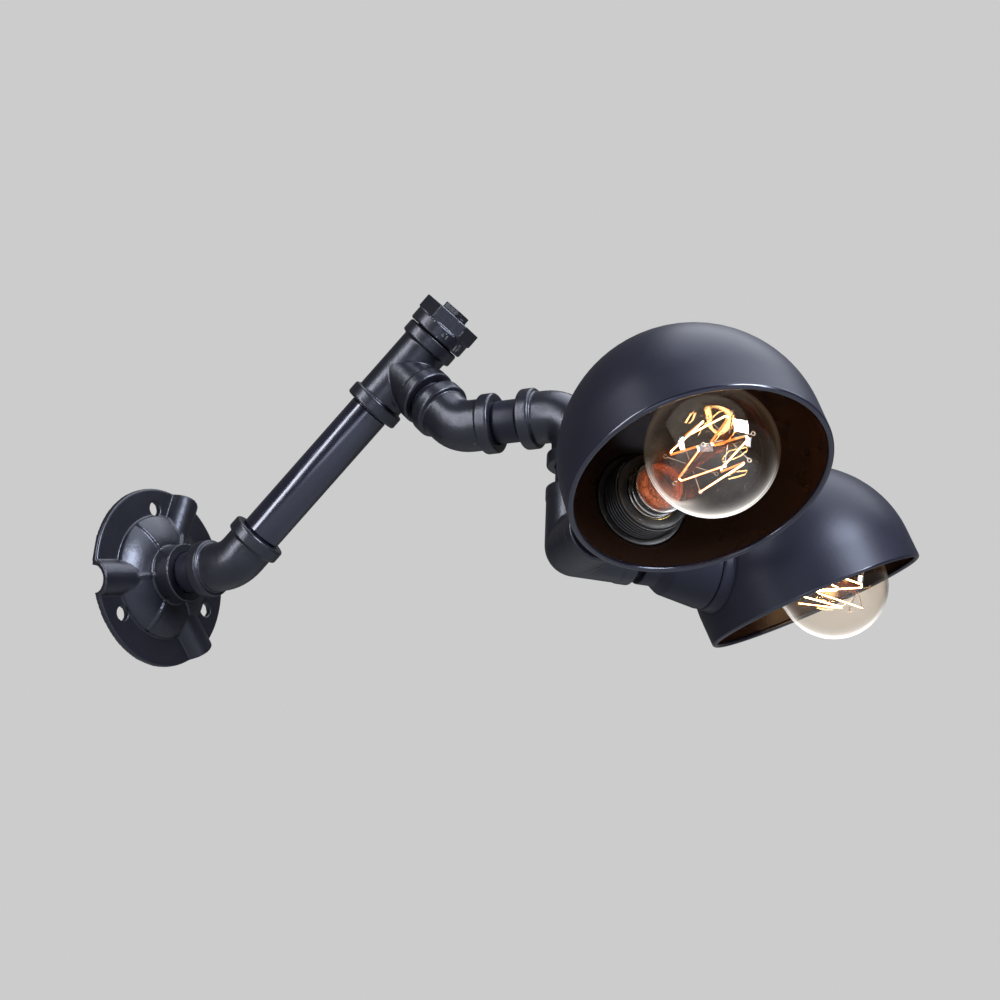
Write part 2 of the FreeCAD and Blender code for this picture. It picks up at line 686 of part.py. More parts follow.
def cage_points():
    """The corners of the zigzag, low and high in turn round the stem."""
    points = []
    radius = S.cage_od.value / 2
    for i in range(2 * CAGE_LOOPS):
        turn = 2 * math.pi * (i + 0.5) / (2 * CAGE_LOOPS)
        high = S.cage_high.value if i % 2 else S.cage_low.value
        points.append(Vector(radius * math.cos(turn), radius * math.sin(turn), high))
    return points


def filament(side, place):
    points = cage_points()
    shape = swept_rod(points, S.filament_od.value / 2, S.filament_bend.value)
    thing = feature(side + "_filament", shape)
    thing.Placement = place
    return thing


def filament_hooks(side, place):
    """The two glass buttons on the stem, each with six wires that reach out to the cage's corners."""
    radius = S.hook_od.value / 2
    button_r = S.hook_button_od.value / 2
    height = S.hook_button.value
    bore_r = S.stem_od.value / 2 + S.thread_gap.value
    reach = S.cage_od.value / 2 - S.filament_od.value / 2 - S.seat_gap.value
    stars = []
    for level in (S.cage_low.value, S.cage_high.value):
        base = Vector(0, 0, level - height / 2)
        star = Part.makeCylinder(button_r, height, base).cut(Part.makeCylinder(bore_r, height, base))
        for point in cage_points():
            if point.z == level:
                way = Vector(point.x, point.y, 0).normalize()
                start = (bore_r + button_r) / 2
                foot = Vector(0, 0, level) + way * start
                star = star.fuse(Part.makeCylinder(radius, reach - start, foot, way))
        stars.append(star)
    thing = feature(side + "_filament_hooks", Part.makeCompound(stars))
    thing.Placement = place
    return thing


PIECES = (port_nipple, socket_cup, lamp_holder, screw_shell, centre_contact, shade, ring_nut, bulb_glass,
          bulb_cap, bulb_tip, bulb_solder, bulb_stem, filament, filament_hooks)

for side, place in HEADS:
    for make in PIECES:
        make(side, place)


# ---------------------------------------------------------------- wiring inside the pipe

def cable(label, points):
    """A run of the round supply cable on the pipe's centreline."""
    return feature(label, swept_rod(points, S.cable_od.value / 2, S.cable_bend.value))


def supply_cables():
    """The cable is cut where one body turns on the next, with a small gap at each cut."""
    gap = S.seat_gap.value
    base_end = float(S.wall_to_elbow - ELBOW_SOCKET)
    head_start = NIPPLE_END.value
    drop_end = float(S.lamp_drop - S.corner_arm + S.thread_depth)
    cable("base_cable", [OUT * gap, OUT * base_end])
    cable("arm_cable", [OUT * (base_end + gap), AT_ELBOW, AT_TEE, AT_UPPER, AT_DROP, AT_DROP + WAY_DOWN * drop_end])
    splice_r = S.splice_od.value / 2
    cable("cluster_cable", [AT_DROP + WAY_DOWN * (drop_end + gap), AT_CORNER - WAY_DOWN * (splice_r + gap)])
    finish(sphere(S.splice_od / 2, Placement()), "cable_splice", Placement(AT_CORNER, Rotation()))
    for side, way in (("left", WAY_LEFT), ("right", WAY_RIGHT)):
        cable(side + "_branch_cable", [AT_CORNER + way * (splice_r + gap), AT_CORNER + way * head_start])
        lead_end = S.holder_back.value - gap
        cable(side + "_head_cable", [AT_CORNER + way * (head_start + gap), AT_CORNER + way * lead_end])


supply_cables()


# ---------------------------------------------------------------- checks and files

doc.recompute()
for thing in doc.Objects:
    if "Invalid" in thing.State or "Error" in thing.State:
        raise RuntimeError("%s (%s) failed: %s" % (thing.Name, thing.Label, thing.State))
for thing in LABELS:
    if thing.Shape.isNull() or not thing.Shape.isValid() or not thing.Shape.Solids:
        raise RuntimeError("%s has no valid solid" % thing.Label)

os.makedirs("parts", exist_ok=True)
for thing in LABELS:
    thing.Shape.exportStep("parts/%s.step" % thing.Label)
print("%d sub-parts written" % len(LABELS))
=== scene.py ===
import json
from functools import partialmethod
from math import asin, atan2, cos, pi, radians, sin, sqrt, tan

import bmesh
import bpy
from bpy.props import FloatProperty, FloatVectorProperty, IntProperty, PointerProperty
from bpy.types import Operator, Panel, PropertyGroup, Scene
from mathutils import Matrix, Vector


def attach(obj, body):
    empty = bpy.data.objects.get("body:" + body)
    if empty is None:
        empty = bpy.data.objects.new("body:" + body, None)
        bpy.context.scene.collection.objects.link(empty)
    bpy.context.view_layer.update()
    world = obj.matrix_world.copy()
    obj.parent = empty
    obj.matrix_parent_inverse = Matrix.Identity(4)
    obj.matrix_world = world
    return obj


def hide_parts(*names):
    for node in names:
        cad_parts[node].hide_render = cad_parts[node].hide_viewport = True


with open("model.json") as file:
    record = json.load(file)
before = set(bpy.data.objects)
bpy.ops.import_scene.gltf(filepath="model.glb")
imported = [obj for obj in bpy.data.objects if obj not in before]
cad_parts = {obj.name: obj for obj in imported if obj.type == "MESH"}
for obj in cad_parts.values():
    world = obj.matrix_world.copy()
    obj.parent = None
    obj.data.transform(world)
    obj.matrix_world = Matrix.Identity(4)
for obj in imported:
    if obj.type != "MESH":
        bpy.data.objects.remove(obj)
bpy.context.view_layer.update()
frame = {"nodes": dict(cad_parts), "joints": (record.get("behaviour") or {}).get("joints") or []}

bl_info = {
    "name": "Pipe Wall Light",
    "version": (1, 0, 0),
    "blender": (4, 5, 0),
    "location": "3D View > Sidebar > Pipe Light",
    "description": "Dresses a wall light made of black pipe fittings with two bowl shades",
    "category": "Object",
}

SIDES = ("left", "right")
OUT, UP, RIGHT = Vector((0, -1, 0)), Vector((0, 0, 1)), Vector((1, 0, 0))


# --- what a user may change

def length(text, default):
    return FloatProperty(description=text, default=default, unit="LENGTH", precision=5)


def angle(text, degrees):
    return FloatProperty(description=text, default=radians(degrees), subtype="ANGLE")


def colour(text, default):
    return FloatVectorProperty(description=text, default=default, subtype="COLOR", min=0, max=1)


def amount(text, default, high=1.0):
    return FloatProperty(description=text, default=default, min=0, max=high)


class PipeRoute(PropertyGroup):
    """The centre line of the pipe, from the wall to the lamps."""
    wall_to_elbow: length("From the wall to the first elbow's centre", 0.06)
    arm_length: length("From the first elbow to the tee", 0.1485)
    branch_drop: length("From the tee to the second elbow", 0.0575)
    outreach: length("From the second elbow to the drop elbow", 0.0715)
    lamp_drop: length("From the drop elbow to the corner fitting", 0.0755)
    elbow_angle: angle("Turn of the two small elbows", 45)
    arm_turn: angle("Lean of the arm to the viewer's left", 3)
    branch_turn: angle("Twist of the tee's branch", 6)
    outreach_turn: angle("Twist of the second elbow", -7)
    drop_turn: angle("Twist of the drop elbow", 4)
    cluster_turn: angle("Turn of the corner fitting", 47)
    left_turn: angle("Turn of the left lamp head", 6)
    right_turn: angle("Turn of the right lamp head", -4)


class FittingSizes(PropertyGroup):
    """Pipe, fittings and the cup behind each shade."""
    pipe_od: length("Outside diameter of the pipe", 0.024)
    pipe_bore: length("Inside diameter of the pipe", 0.0196)
    thread_depth: length("How far a pipe goes into a fitting", 0.012)
    thread_pitch: length("From one turn of the pipe thread to the next", 0.0018)
    thread_relief: length("Depth of the pipe thread", 0.0006)
    bare_thread: length("Thread that shows beside a fitting", 0.0022)
    elbow_arm: length("Centre to face of a small elbow", 0.0235)
    drop_arm: length("Centre to face of the drop elbow", 0.032)
    tee_arm: length("Centre to face of the tee", 0.028)
    corner_arm: length("Centre to face of the corner fitting", 0.032)
    hub_height: length("Height of the wall flange's hub", 0.0195)
    cup_start: length("Back of the cup, from the corner's centre", 0.0365)
    cup_floor: length("Inner floor of the cup", 0.048)
    cup_end: length("Mouth of the cup", 0.0752)
    cup_neck_od: length("Diameter of the cup's neck", 0.031)
    cup_shoulder_od: length("Diameter where the cup's cone starts", 0.039)
    cup_mouth_od: length("Diameter of the cup's mouth", 0.048)
    cup_wall: length("Wall of the cup", 0.0016)
    seat_gap: length("Clearance where two pieces meet", 0.0003)


class LampSizes(PropertyGroup):
    """Shade, lamp holder and bulb, measured along the lamp's axis from the corner fitting's centre."""
    shade_od: length("Diameter of the shade's rim", 0.123)
    shade_wall: length("Thickness of the shade", 0.0012)
    shade_centre: length("Rim's centre along the lamp", 0.143)
    shade_drop: length("From the lamp's axis to the rim's centre", 0.011)
    shade_skirt: length("Straight part of the bowl behind the rim", 0.015)
    shade_tilt: angle("Turn of the mouth from the lamp's axis", 65)
    hem_od: length("Diameter of the rolled hem", 0.003)
    neck_od: length("Diameter of the shade's neck", 0.049)
    seat_plate: length("Back of the shade's neck", 0.0755)
    holder_back: length("Back of the lamp holder's body", 0.06)
    holder_end: length("Mouth of the lamp holder", 0.096)
    holder_od: length("Diameter of the lamp holder's sleeve", 0.0396)
    holder_floor: length("Bottom of the lamp holder's well", 0.072)
    shell_bore: length("Inside diameter of the screw shell", 0.0268)
    shell_wall: length("Thickness of the screw shell", 0.0005)
    ring_height: length("Height of the ring nut", 0.0055)
    bulb_od: length("Diameter of the bulb", 0.06)
    bulb_centre: length("Centre of the bulb's ball", 0.1555)
    bulb_neck_od: length("Diameter of the bulb's neck", 0.0256)
    neck_blend: length("Radius between the bulb's neck and ball", 0.035)
    glass_wall: length("Thickness of the glass", 0.0008)
    cap_od: length("Diameter of the bulb's screw cap", 0.0264)
    cap_start: length("Back of the screw cap", 0.082)
    cap_end: length("Front of the screw cap", 0.104)
    cage_od: length("Diameter of the filament cage", 0.026)
    cage_low: length("Back end of the filament cage", 0.135)
    cage_high: length("Front end of the filament cage", 0.171)
    filament_od: length("Diameter of the glowing wire", 0.0009)
    cage_loops: IntProperty(description="Zigzags of the cage", default=6, min=2, max=12)


class FinishChoices(PropertyGroup):
    """Colours and gloss."""
    casting: colour("Colour of the cast fittings", (0.004, 0.004, 0.0062))
    enamel: colour("Colour of the pipe, cups and shades", (0.0052, 0.0053, 0.0098))
    # painted light: this brown on the inside of the shades stands in for the filament's warm glow
    lining: colour("Colour of the inside of the shades", (0.011, 0.005, 0.0028))
    casting_roughness: amount("Roughness of the cast fittings", 0.33)
    enamel_roughness: amount("Roughness of the cups and shades", 0.42)
    pipe_roughness: amount("Roughness of the pipe", 0.15)
    glow: colour("Colour of the filament's cooler edges", (1.0, 0.24, 0.03))
    glow_strength: amount("Brightness of the lit filament", 50.0, 200.0)
    glass: colour("Tint of the bulb's glass", (1.0, 0.965, 0.92))


class StageChoices(PropertyGroup):
    """Camera, lamps, floor and backdrop."""
    camera_place: FloatVectorProperty(description="Place of the camera", size=3, unit="LENGTH",
                                      default=(-0.66614, -0.67972, -0.327))
    camera_yaw: angle("Heading, from the wall's normal toward +X", 56.71)
    camera_pitch: angle("How far the camera looks up", 22.93)
    camera_roll: angle("Turn about the camera's own axis", 4.0)
    camera_lens: FloatProperty(description="Focal length in millimetres", default=58.753)
    backdrop: amount("Brightness of the plain grey backdrop", 0.604)
    reflected: amount("Brightness that shiny surfaces mirror", 0.13)
    ambient: amount("Brightness of the light all round", 0.35)
    floor_height: length("Height of the floor", -0.48)


def chosen(group):
    return getattr(bpy.context.scene, "pipe_light_" + group)


# --- nodes

class Wire:
    """The output of a node; sums, products and powers of it add Math nodes."""

    def __init__(self, net, socket):
        self.net = net
        self.socket = socket

    def sibling(self, output):
        """Another output of the same node."""
        return Wire(self.net, self.socket.node.outputs[output])

    def math(self, operation, *others):
        """A Math node whose first value is this one."""
        return self.net.add("ShaderNodeMath", dict(enumerate((self, *others))), {"operation": operation})

    def __rsub__(self, other):
        return self * -1.0 + other

    __add__ = __radd__ = partialmethod(math, "ADD")
    __mul__ = __rmul__ = partialmethod(math, "MULTIPLY")
    __sub__ = partialmethod(math, "SUBTRACT")
    __truediv__ = partialmethod(math, "DIVIDE")
    __pow__ = partialmethod(math, "POWER")


class Net:
    """A node tree with one method that adds any node."""

    def __init__(self, tree):
        self.tree = tree

    def add(self, kind, inputs=None, settings=None, output=0):
        node = self.tree.nodes.new(kind)
        for name, value in (settings or {}).items():
            if name == "stops":
                for element, (position, grey) in zip(node.color_ramp.elements, value):
                    element.position, element.color = position, (grey, grey, grey, 1)
            else:
                setattr(node, name, value)
        for key, value in (inputs or {}).items():
            if isinstance(value, Wire):
                self.tree.links.new(value.socket, node.inputs[key])
            else:
                node.inputs[key].default_value = value
        return Wire(self, node.outputs[output]) if node.outputs else None


def emptied(owner):
    """The net of a material's or a world's own tree, without the nodes that it starts with."""
    owner.use_nodes = True
    owner.node_tree.nodes.clear()
    return Net(owner.node_tree)


def object_place(net):
    return net.add("ShaderNodeTexCoord", output="Object")


def noise(net, scale, detail=3.0, roughness=0.5, place=None):
    """Noise over the object's own place unless told otherwise."""
    return net.add("ShaderNodeTexNoise", {
        "Vector": place or object_place(net), "Scale": scale, "Detail": detail, "Roughness": roughness})


def streaky(net, place, stretch, detail):
    """Noise whose scale differs along each axis."""
    stretched = net.add("ShaderNodeMapping", {"Vector": place, "Scale": stretch})
    return noise(net, 1.0, detail, place=stretched)


def ramp(net, value, *stops):
    """A share that runs between two stops, each a value and a level."""
    return net.add("ShaderNodeValToRGB", {"Fac": value}, {"stops": stops})


def mixed(net, share, first, second):
    return net.add("ShaderNodeMix", {0: share, 6: first, 7: second}, {"data_type": "RGBA"}, output=2)


def toned(value, factor=1.0):
    """A colour made lighter or darker, with the opaque fourth channel that sockets take."""
    return (*(channel * factor for channel in value), 1.0)


def painted(net, name):
    """A value that the piece's points carry; 0 where a piece has none."""
    return net.add("ShaderNodeAttribute", settings={"attribute_name": name}, output="Fac")


def facing(net):
    """0 where a surface faces the eye and 1 at its edge, alike from both sides."""
    return net.add("ShaderNodeLayerWeight", {"Blend": 0.5}, output="Facing")


def bump(net, height, distance):
    return net.add("ShaderNodeBump", {"Height": height, "Distance": distance})


def principled(net, sockets):
    return net.add("ShaderNodeBsdfPrincipled", sockets)


# --- finishes

FINISHES = {}


def finish(function):
    """Registers a function that wires the material of its own name, made once when it is first asked for."""
    FINISHES[function.__name__] = function
    return function


def material(name):
    found = bpy.data.materials.get(name)
    if found:
        return found
    made = bpy.data.materials.new(name)
    net = emptied(made)
    surface = FINISHES[name](net) if name in FINISHES else plain_gloss(net, *PLAIN_FINISHES[name])
    net.add("ShaderNodeOutputMaterial", {"Surface": surface})
    return made


def lacquer(net, base, roughness, relief, mirror=0.17):
    """The drift of a black lacquer from 0 to 1, and the sockets that it and a relief feed."""
    drift = noise(net, 30.0, 4.0)
    return drift, {
        "Base Color": mixed(net, drift, toned(base, 0.7), toned(base, 1.3)),
        "Roughness": drift * 0.12 + (roughness - 0.06),
        "Specular IOR Level": mirror,
        "Specular Tint": (0.8, 0.84, 1.0, 1),
        "Normal": relief,
    }


@finish
def satin_enamel(net):
    """Stoved enamel on spun steel: orange peel, cloudy gloss and a thin scatter of dust; the inside of the
    shade is tinted brown as painted warm light from the filament.
    """
    choices = chosen("finish")
    peel = noise(net, 520.0, 2.0) + noise(net, 130.0, 2.0)
    drift, sockets = lacquer(net, choices.enamel, choices.enamel_roughness, bump(net, peel, 0.00003))
    specks = ramp(net, noise(net, 2400.0, 2.0), (0.7, 0.0), (0.78, 1.0))
    dust = specks * ramp(net, drift, (0.45, 0.0), (0.7, 0.35))
    dusty = mixed(net, dust, sockets["Base Color"], (0.09, 0.09, 0.1, 1))
    # the inner skin is tinted brown as painted warm light from the filament
    lining = painted(net, "lining")
    sockets["Base Color"] = mixed(net, lining, dusty, toned(choices.lining))
    sockets["Roughness"] = sockets["Roughness"] + dust * 0.3 - lining * 0.14
    return principled(net, sockets)


@finish
def gloss_pipe(net):
    """Lacquered steel pipe: faint draw lines run along it, with a few runs and dry spots in the lacquer."""
    choices = chosen("finish")
    along = net.add("ShaderNodeUVMap")
    lines = streaky(net, along, (2600.0, 40.0, 1.0), 2.0)
    runs = streaky(net, along, (500.0, 60.0, 1.0), 3.0)
    relief = bump(net, lines * 0.4 + runs, 0.00005)
    _, sockets = lacquer(net, choices.enamel, choices.pipe_roughness, relief, 0.45)
    sockets["Roughness"] = sockets["Roughness"] + ramp(net, runs, (0.55, 0.0), (0.75, 0.1))
    return principled(net, sockets)


@finish
def black_casting(net):
    """Lacquered casting: a fine sand skin, soft hollows, and edges where the lacquer has pulled thin."""
    choices = chosen("finish")
    sand, hollows = noise(net, 1100.0, 3.0, 0.55), noise(net, 150.0, 2.0)
    relief = bump(net, sand * 0.15 + hollows, 0.00022)
    _, sockets = lacquer(net, choices.casting, choices.casting_roughness, relief, 0.35)
    edge = ramp(net, net.add("ShaderNodeNewGeometry", output="Pointiness"), (0.53, 0.0), (0.6, 1.0))
    thin = edge * ramp(net, noise(net, 260.0), (0.4, 0.1), (0.65, 0.8))
    sockets["Base Color"] = mixed(net, thin, sockets["Base Color"], (0.1, 0.1, 0.105, 1))
    return principled(net, sockets)


# colour, roughness, then metallic, the grain's scale and its relief where they aren't the usual ones
PLAIN_FINISHES = {
    "holder_moulding": ((0.012, 0.01, 0.009), 0.34),
    "pressed_brass": ((0.72, 0.5, 0.2), 0.26, 1.0),
    "rolled_cap": ((0.34, 0.33, 0.32), 0.28, 1.0),
    "hook_wire": ((0.3, 0.27, 0.24), 0.32, 1.0),
    "vitreous_base": ((0.015, 0.01, 0.014), 0.12),
    "cable_rubber": ((0.02, 0.02, 0.021), 0.5, 0.0, 1500.0, 0.00006),
    "splice_plastic": ((0.72, 0.68, 0.58), 0.38),
}


def plain_gloss(net, base, roughness, metallic=0.0, grain=600.0, relief=0.00003):
    """A surface whose colour and gloss drift a little, with a fine grain."""
    drift = noise(net, 90.0, 4.0)
    return principled(net, {
        "Base Color": mixed(net, drift, toned(base, 0.78), toned(base, 1.15)),
        "Metallic": metallic,
        "Roughness": drift * 0.18 + (roughness - 0.09),
        "Normal": bump(net, noise(net, grain), relief),
    })


def veiled(net, tint, share, body):
    """Clear tinted glass, with a body that shows by its share."""
    clear = net.add("ShaderNodeBsdfTransparent", {"Color": toned(tint)})
    return net.add("ShaderNodeMixShader", {0: share, 1: clear, 2: body})


def mirror_share(net):
    """How much a clear surface mirrors: little face on, all at its edge, and alike from both sides."""
    return facing(net) ** 5.0 * 0.97 + 0.03


@finish
def blown_glass(net):
    """Clear glass, too thin to bend light, with slow waves in its wall; its emission is painted light: a faint
    warm glow all over, and a white painted highlight along its low edge that stands in for the backdrop's
    reflection.
    """
    waves = noise(net, 40.0, 1.0)
    # painted highlight: strongest on the low side of the ball and toward its edge
    low = ramp(net, painted(net, "low_side"), (0.2, 0.0), (0.95, 1.0))
    painted_highlight = low * ramp(net, facing(net), (0.4, 0.0), (0.9, 1.0))
    mirror = principled(net, {
        "Base Color": (1.0, 1.0, 1.0, 1),
        "Metallic": 1.0,
        "Roughness": waves * 0.02,
        # painted light: a faint warm glow, white where the painted highlight lies
        "Emission Color": mixed(net, painted_highlight, (0.02, 0.015, 0.01, 1), (1.0, 0.99, 0.98, 1)),
        "Emission Strength": 1.6,
        "Normal": bump(net, waves, 0.0002),
    })
    return veiled(net, chosen("finish").glass, mirror_share(net), mirror)


@finish
def stem_tube_glass(net):
    """The glass inside the bulb: clear, but red in the neck, where it glows a little as painted warm light, and
    streaked where it was drawn.
    """
    streaks = streaky(net, object_place(net), (900.0, 900.0, 200.0), 3.0)
    body = principled(net, {
        "Base Color": mixed(net, streaks, (0.6, 0.1, 0.04, 1), (0.85, 0.34, 0.16, 1)),
        "Roughness": streaks * 0.2 + 0.1,
        "Emission Color": mixed(net, streaks, (0.3, 0.03, 0.01, 1), (0.55, 0.12, 0.04, 1)),
        "Emission Strength": 0.45,
        "Normal": bump(net, streaks, 0.0002),
    })
    # the red share of the neck, which also carries the painted glow
    red_glow_share = ramp(net, streaks, (0.35, 0.3), (0.65, 0.65))
    share = red_glow_share * painted(net, "neck") + mirror_share(net) * 0.3
    return veiled(net, (1.0, 0.88, 0.8), share, body)


@finish
def lit_filament(net):
    """The lit wire: white-hot in its middle, orange along both edges and cooler here and there."""
    choices = chosen("finish")
    flicker = noise(net, 130.0, 2.0)
    cooler = ramp(net, facing(net) + flicker * 0.15, (0.18, 0.0), (0.48, 1.0))
    return principled(net, {
        "Base Color": mixed(net, flicker, (0.1, 0.07, 0.05, 1), (0.16, 0.12, 0.09, 1)),
        "Roughness": flicker * 0.2 + 0.3,
        "Emission Color": mixed(net, cooler, (1.0, 0.62, 0.26, 1), toned(choices.glow, 0.03)),
        "Emission Strength": choices.glow_strength,
    })


@finish
def pale_floor(net):
    drift = noise(net, 1.5)
    return principled(net, {
        "Base Color": mixed(net, drift, (0.34, 0.34, 0.34, 1), (0.38, 0.38, 0.38, 1)),
        "Roughness": 0.8,
    })


# --- places

def spot_at(origin, axis, across):
    """The matrix of a place whose Z runs along an axis and whose X leans toward across."""
    z = Vector(axis).normalized()
    y = z.cross(across).normalized()
    made = Matrix((y.cross(z), y, z)).transposed().to_4x4()
    made.translation = origin
    return made


def turned_about(axis, turn, way):
    return Matrix.Rotation(turn, 3, axis) @ way


def perpendicular(way, axis):
    return (way - axis * way.dot(axis)).normalized()


def route():
    """The corners and directions of the pipe, worked out as a pipefitter would set them."""
    r = chosen("route")
    cosine, sine = cos(r.elbow_angle), sin(r.elbow_angle)
    arm_plane = turned_about(OUT, -r.arm_turn, UP)
    way = {"arm": OUT * cosine + arm_plane * sine}
    way["branch"] = turned_about(way["arm"], r.branch_turn, OUT * sine - arm_plane * cosine)
    way["out"] = way["branch"] * cosine + turned_about(way["branch"], r.outreach_turn, way["arm"]) * sine
    way["down"] = turned_about(way["out"], r.drop_turn, perpendicular(-UP, way["out"]))
    ahead = perpendicular(way["out"], way["down"])
    way["left"] = turned_about(way["down"], r.cluster_turn, ahead)
    way["right"] = turned_about(way["down"], r.cluster_turn - pi / 2, ahead)
    at = {"elbow": OUT * r.wall_to_elbow}
    at["tee"] = at["elbow"] + way["arm"] * r.arm_length
    at["upper"] = at["tee"] + way["branch"] * r.branch_drop
    at["drop"] = at["upper"] + way["out"] * r.outreach
    at["corner"] = at["drop"] + way["down"] * r.lamp_drop
    return at, way


ROUTE_SLACK = 0.0002


def check_route():
    """The worked-out corner must be where the frame's joints have it."""
    corner = route()[0]["corner"]
    for joint in frame["joints"]:
        if joint["name"] == "left_head_turn" and (Vector(joint["pos_m"]) - corner).length > ROUTE_SLACK:
            raise RuntimeError("the route doesn't end at the corner fitting's centre")


def head_spot(side):
    """The frame of a lamp head: Z along its axis from the corner fitting, X to the low side of the shade."""
    at, way = route()
    turn = getattr(chosen("route"), side + "_turn")
    axis = way[side]
    return spot_at(at["corner"], axis, turned_about(axis, turn, perpendicular(way["down"], axis)))


# --- meshes

# angles in radians above which an edge stays sharp
CREASE, WIRE_CREASE, SHADE_CREASE = 0.7, 1.2, 0.6
WELD = 1e-6


def around(count):
    """The angles of a full turn in even steps."""
    return [2 * pi * i / count for i in range(count)]


def circle(spot, radius, height, count):
    """Points of a circle round the spot's axis."""
    return [spot @ Vector((radius * cos(t), radius * sin(t), height)) for t in around(count)]


def paint(mesh, name, values):
    """Gives each point of a mesh a value that its material can read."""
    mesh.attributes.new(name, "FLOAT", "POINT").data.foreach_set("value", values)


def coated(mesh, coat):
    """Gives a mesh one finish in place of its own."""
    mesh.materials.clear()
    mesh.materials.append(material(coat))
    return mesh


def creased(mesh, crease):
    """Smooth shading up to an angle; a crease of 0 smooths every edge."""
    mesh.shade_smooth()
    if crease:
        mesh.set_sharp_from_angle(angle=crease)
    return mesh


def linked(name, data):
    """An object in the scene that shows a mesh, a lamp or a camera."""
    made = bpy.data.objects.new(name, data)
    bpy.context.scene.collection.objects.link(made)
    return made


def new_piece(name, maker, coat, crease=CREASE):
    """Turns a bmesh into a named object with one finish."""
    mesh = bpy.data.meshes.new(name)
    maker.normal_update()
    maker.to_mesh(mesh)
    maker.free()
    return linked(name, creased(coated(mesh, coat), crease))


def baked(piece):
    """Applies every modifier of a piece by way of its evaluated mesh."""
    graph = bpy.context.evaluated_depsgraph_get()
    graph.update()
    mesh = bpy.data.meshes.new_from_object(piece.evaluated_get(graph), depsgraph=graph)
    piece.modifiers.clear()
    old = piece.data
    piece.data = mesh
    bpy.data.meshes.remove(old)
    return piece


def seat(piece, body, slot, *nodes):
    """Puts a finished piece on its body, in place of the nodes it stands for."""
    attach(piece, body)
    if nodes:
        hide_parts(*nodes)


# the share of an edge that one rounding may take
ROUNDING_SHARE = 0.49


def rounded(corners, steps=5):
    """Points (radius, height) of an outline; a corner with a third number is rounded to that radius."""
    points = []
    for i, corner in enumerate(corners):
        here = Vector(corner[:2])
        if len(corner) < 3:
            points.append(here)
            continue
        before = Vector(corners[i - 1][:2]) - here
        after = Vector(corners[i + 1 - len(corners)][:2]) - here
        half = before.angle(after) / 2
        reach = min(corner[2] / tan(half), before.length * ROUNDING_SHARE, after.length * ROUNDING_SHARE)
        radius = reach * tan(half)
        centre = here + (before.normalized() + after.normalized()).normalized() * (radius / sin(half))
        start = here + before.normalized() * reach - centre
        end = here + after.normalized() * reach - centre
        sweep = atan2(start.x * end.y - start.y * end.x, start.dot(end))
        for k in range(steps + 1):
            points.append(centre + Matrix.Rotation(sweep * k / steps, 2) @ start)
    return points


def lathe(outline, spot, segments=96, closed=True):
    """A bmesh turned about the spot's Z from outline points (radius, height), with a UV map in metres."""
    maker = bmesh.new()
    uv = maker.loops.layers.uv.new("UVMap")
    rings = []
    for radius, height in outline:
        points = circle(spot, radius, height, segments if radius > WELD else 1)
        rings.append([maker.verts.new(point) for point in points])
    run = 0.0
    for j in range(len(rings) if closed else len(rings) - 1):
        low, high = rings[j], rings[(j + 1) % len(rings)]
        near, far = Vector(outline[j]), Vector(outline[(j + 1) % len(rings)])
        if len(low) == len(high) == 1:
            continue
        top = run + (far - near).length
        girth = max(near.x, far.x)
        for i in range(segments):
            k = (i + 1) % segments
            u0, u1 = (2 * pi * t / segments * girth for t in (i, i + 1))
            corners = [(low[i % len(low)], (u0, run)), (low[k % len(low)], (u1, run)),
                       (high[k % len(high)], (u1, top)), (high[i % len(high)], (u0, top))]
            if len(low) == 1 or len(high) == 1:
                corners.pop(1 if len(low) == 1 else 2)
            face = maker.faces.new([corner[0] for corner in corners])
            for loop, (_, place) in zip(face.loops, corners):
                loop[uv].uv = place
        run = top
    bmesh.ops.recalc_face_normals(maker, faces=maker.faces[:])
    return maker


def casting_copy(node, voxel=0.0005, passes=5):
    """A copy of a cast node with its corners melted into small fillets, as a mould leaves them."""
    maker = bmesh.new()
    maker.from_mesh(frame["nodes"][node].data)
    bmesh.ops.remove_doubles(maker, verts=maker.verts[:], dist=WELD)
    piece = new_piece(node + "_casting", maker, "black_casting", 0)
    remesh = piece.modifiers.new("skin", "REMESH")
    remesh.mode = "VOXEL"
    remesh.voxel_size = voxel
    remesh.use_smooth_shade = True
    smooth = piece.modifiers.new("melt", "SMOOTH")
    smooth.factor = 0.5
    smooth.iterations = passes
    creased(coated(baked(piece).data, "black_casting"), 0)
    return piece


# --- patterns in Geometry Nodes

def pattern_tree(name, grow, sizes, coat):
    """A node tree with an input for each size; it ends in real mesh with one finish."""
    tree = bpy.data.node_groups.new(name, "GeometryNodeTree")
    tree.interface.new_socket("Geometry", in_out="OUTPUT", socket_type="NodeSocketGeometry")
    for size, value in sizes.items():
        kind = "NodeSocketInt" if isinstance(value, int) else "NodeSocketFloat"
        tree.interface.new_socket(size, in_out="INPUT", socket_type=kind)
    net = Net(tree)
    first = net.add("NodeGroupInput")
    shape = grow(net, **{size: first.sibling(size) for size in sizes})
    solid = net.add("GeometryNodeRealizeInstances", {"Geometry": shape})
    dressed = net.add("GeometryNodeSetMaterial", {"Geometry": solid, "Material": material(coat)})
    net.add("NodeGroupOutput", {"Geometry": dressed})
    return tree


def grown(name, spot, coat, grow, **sizes):
    """A piece grown by a pattern of nodes along the spot's axis, turned into plain mesh."""
    piece = linked(name, bpy.data.meshes.new(name))
    modifier = piece.modifiers.new("pattern", "NODES")
    modifier.node_group = pattern_tree(name, grow, sizes, coat)
    for item in modifier.node_group.interface.items_tree:
        if item.in_out == "INPUT":
            modifier[item.identifier] = sizes[item.name]
    baked(piece).data.transform(spot)
    creased(piece.data, WIRE_CREASE)
    return piece


def vector(net, **parts):
    return net.add("ShaderNodeCombineXYZ", parts)


def round_wire(net, path, thickness, sides=10):
    """Sweeps a round section along a curve."""
    section = net.add("GeometryNodeCurvePrimitiveCircle", {"Resolution": sides, "Radius": thickness})
    return net.add("GeometryNodeCurveToMesh", {
        "Curve": path, "Profile Curve": section, "Fill Caps": True})


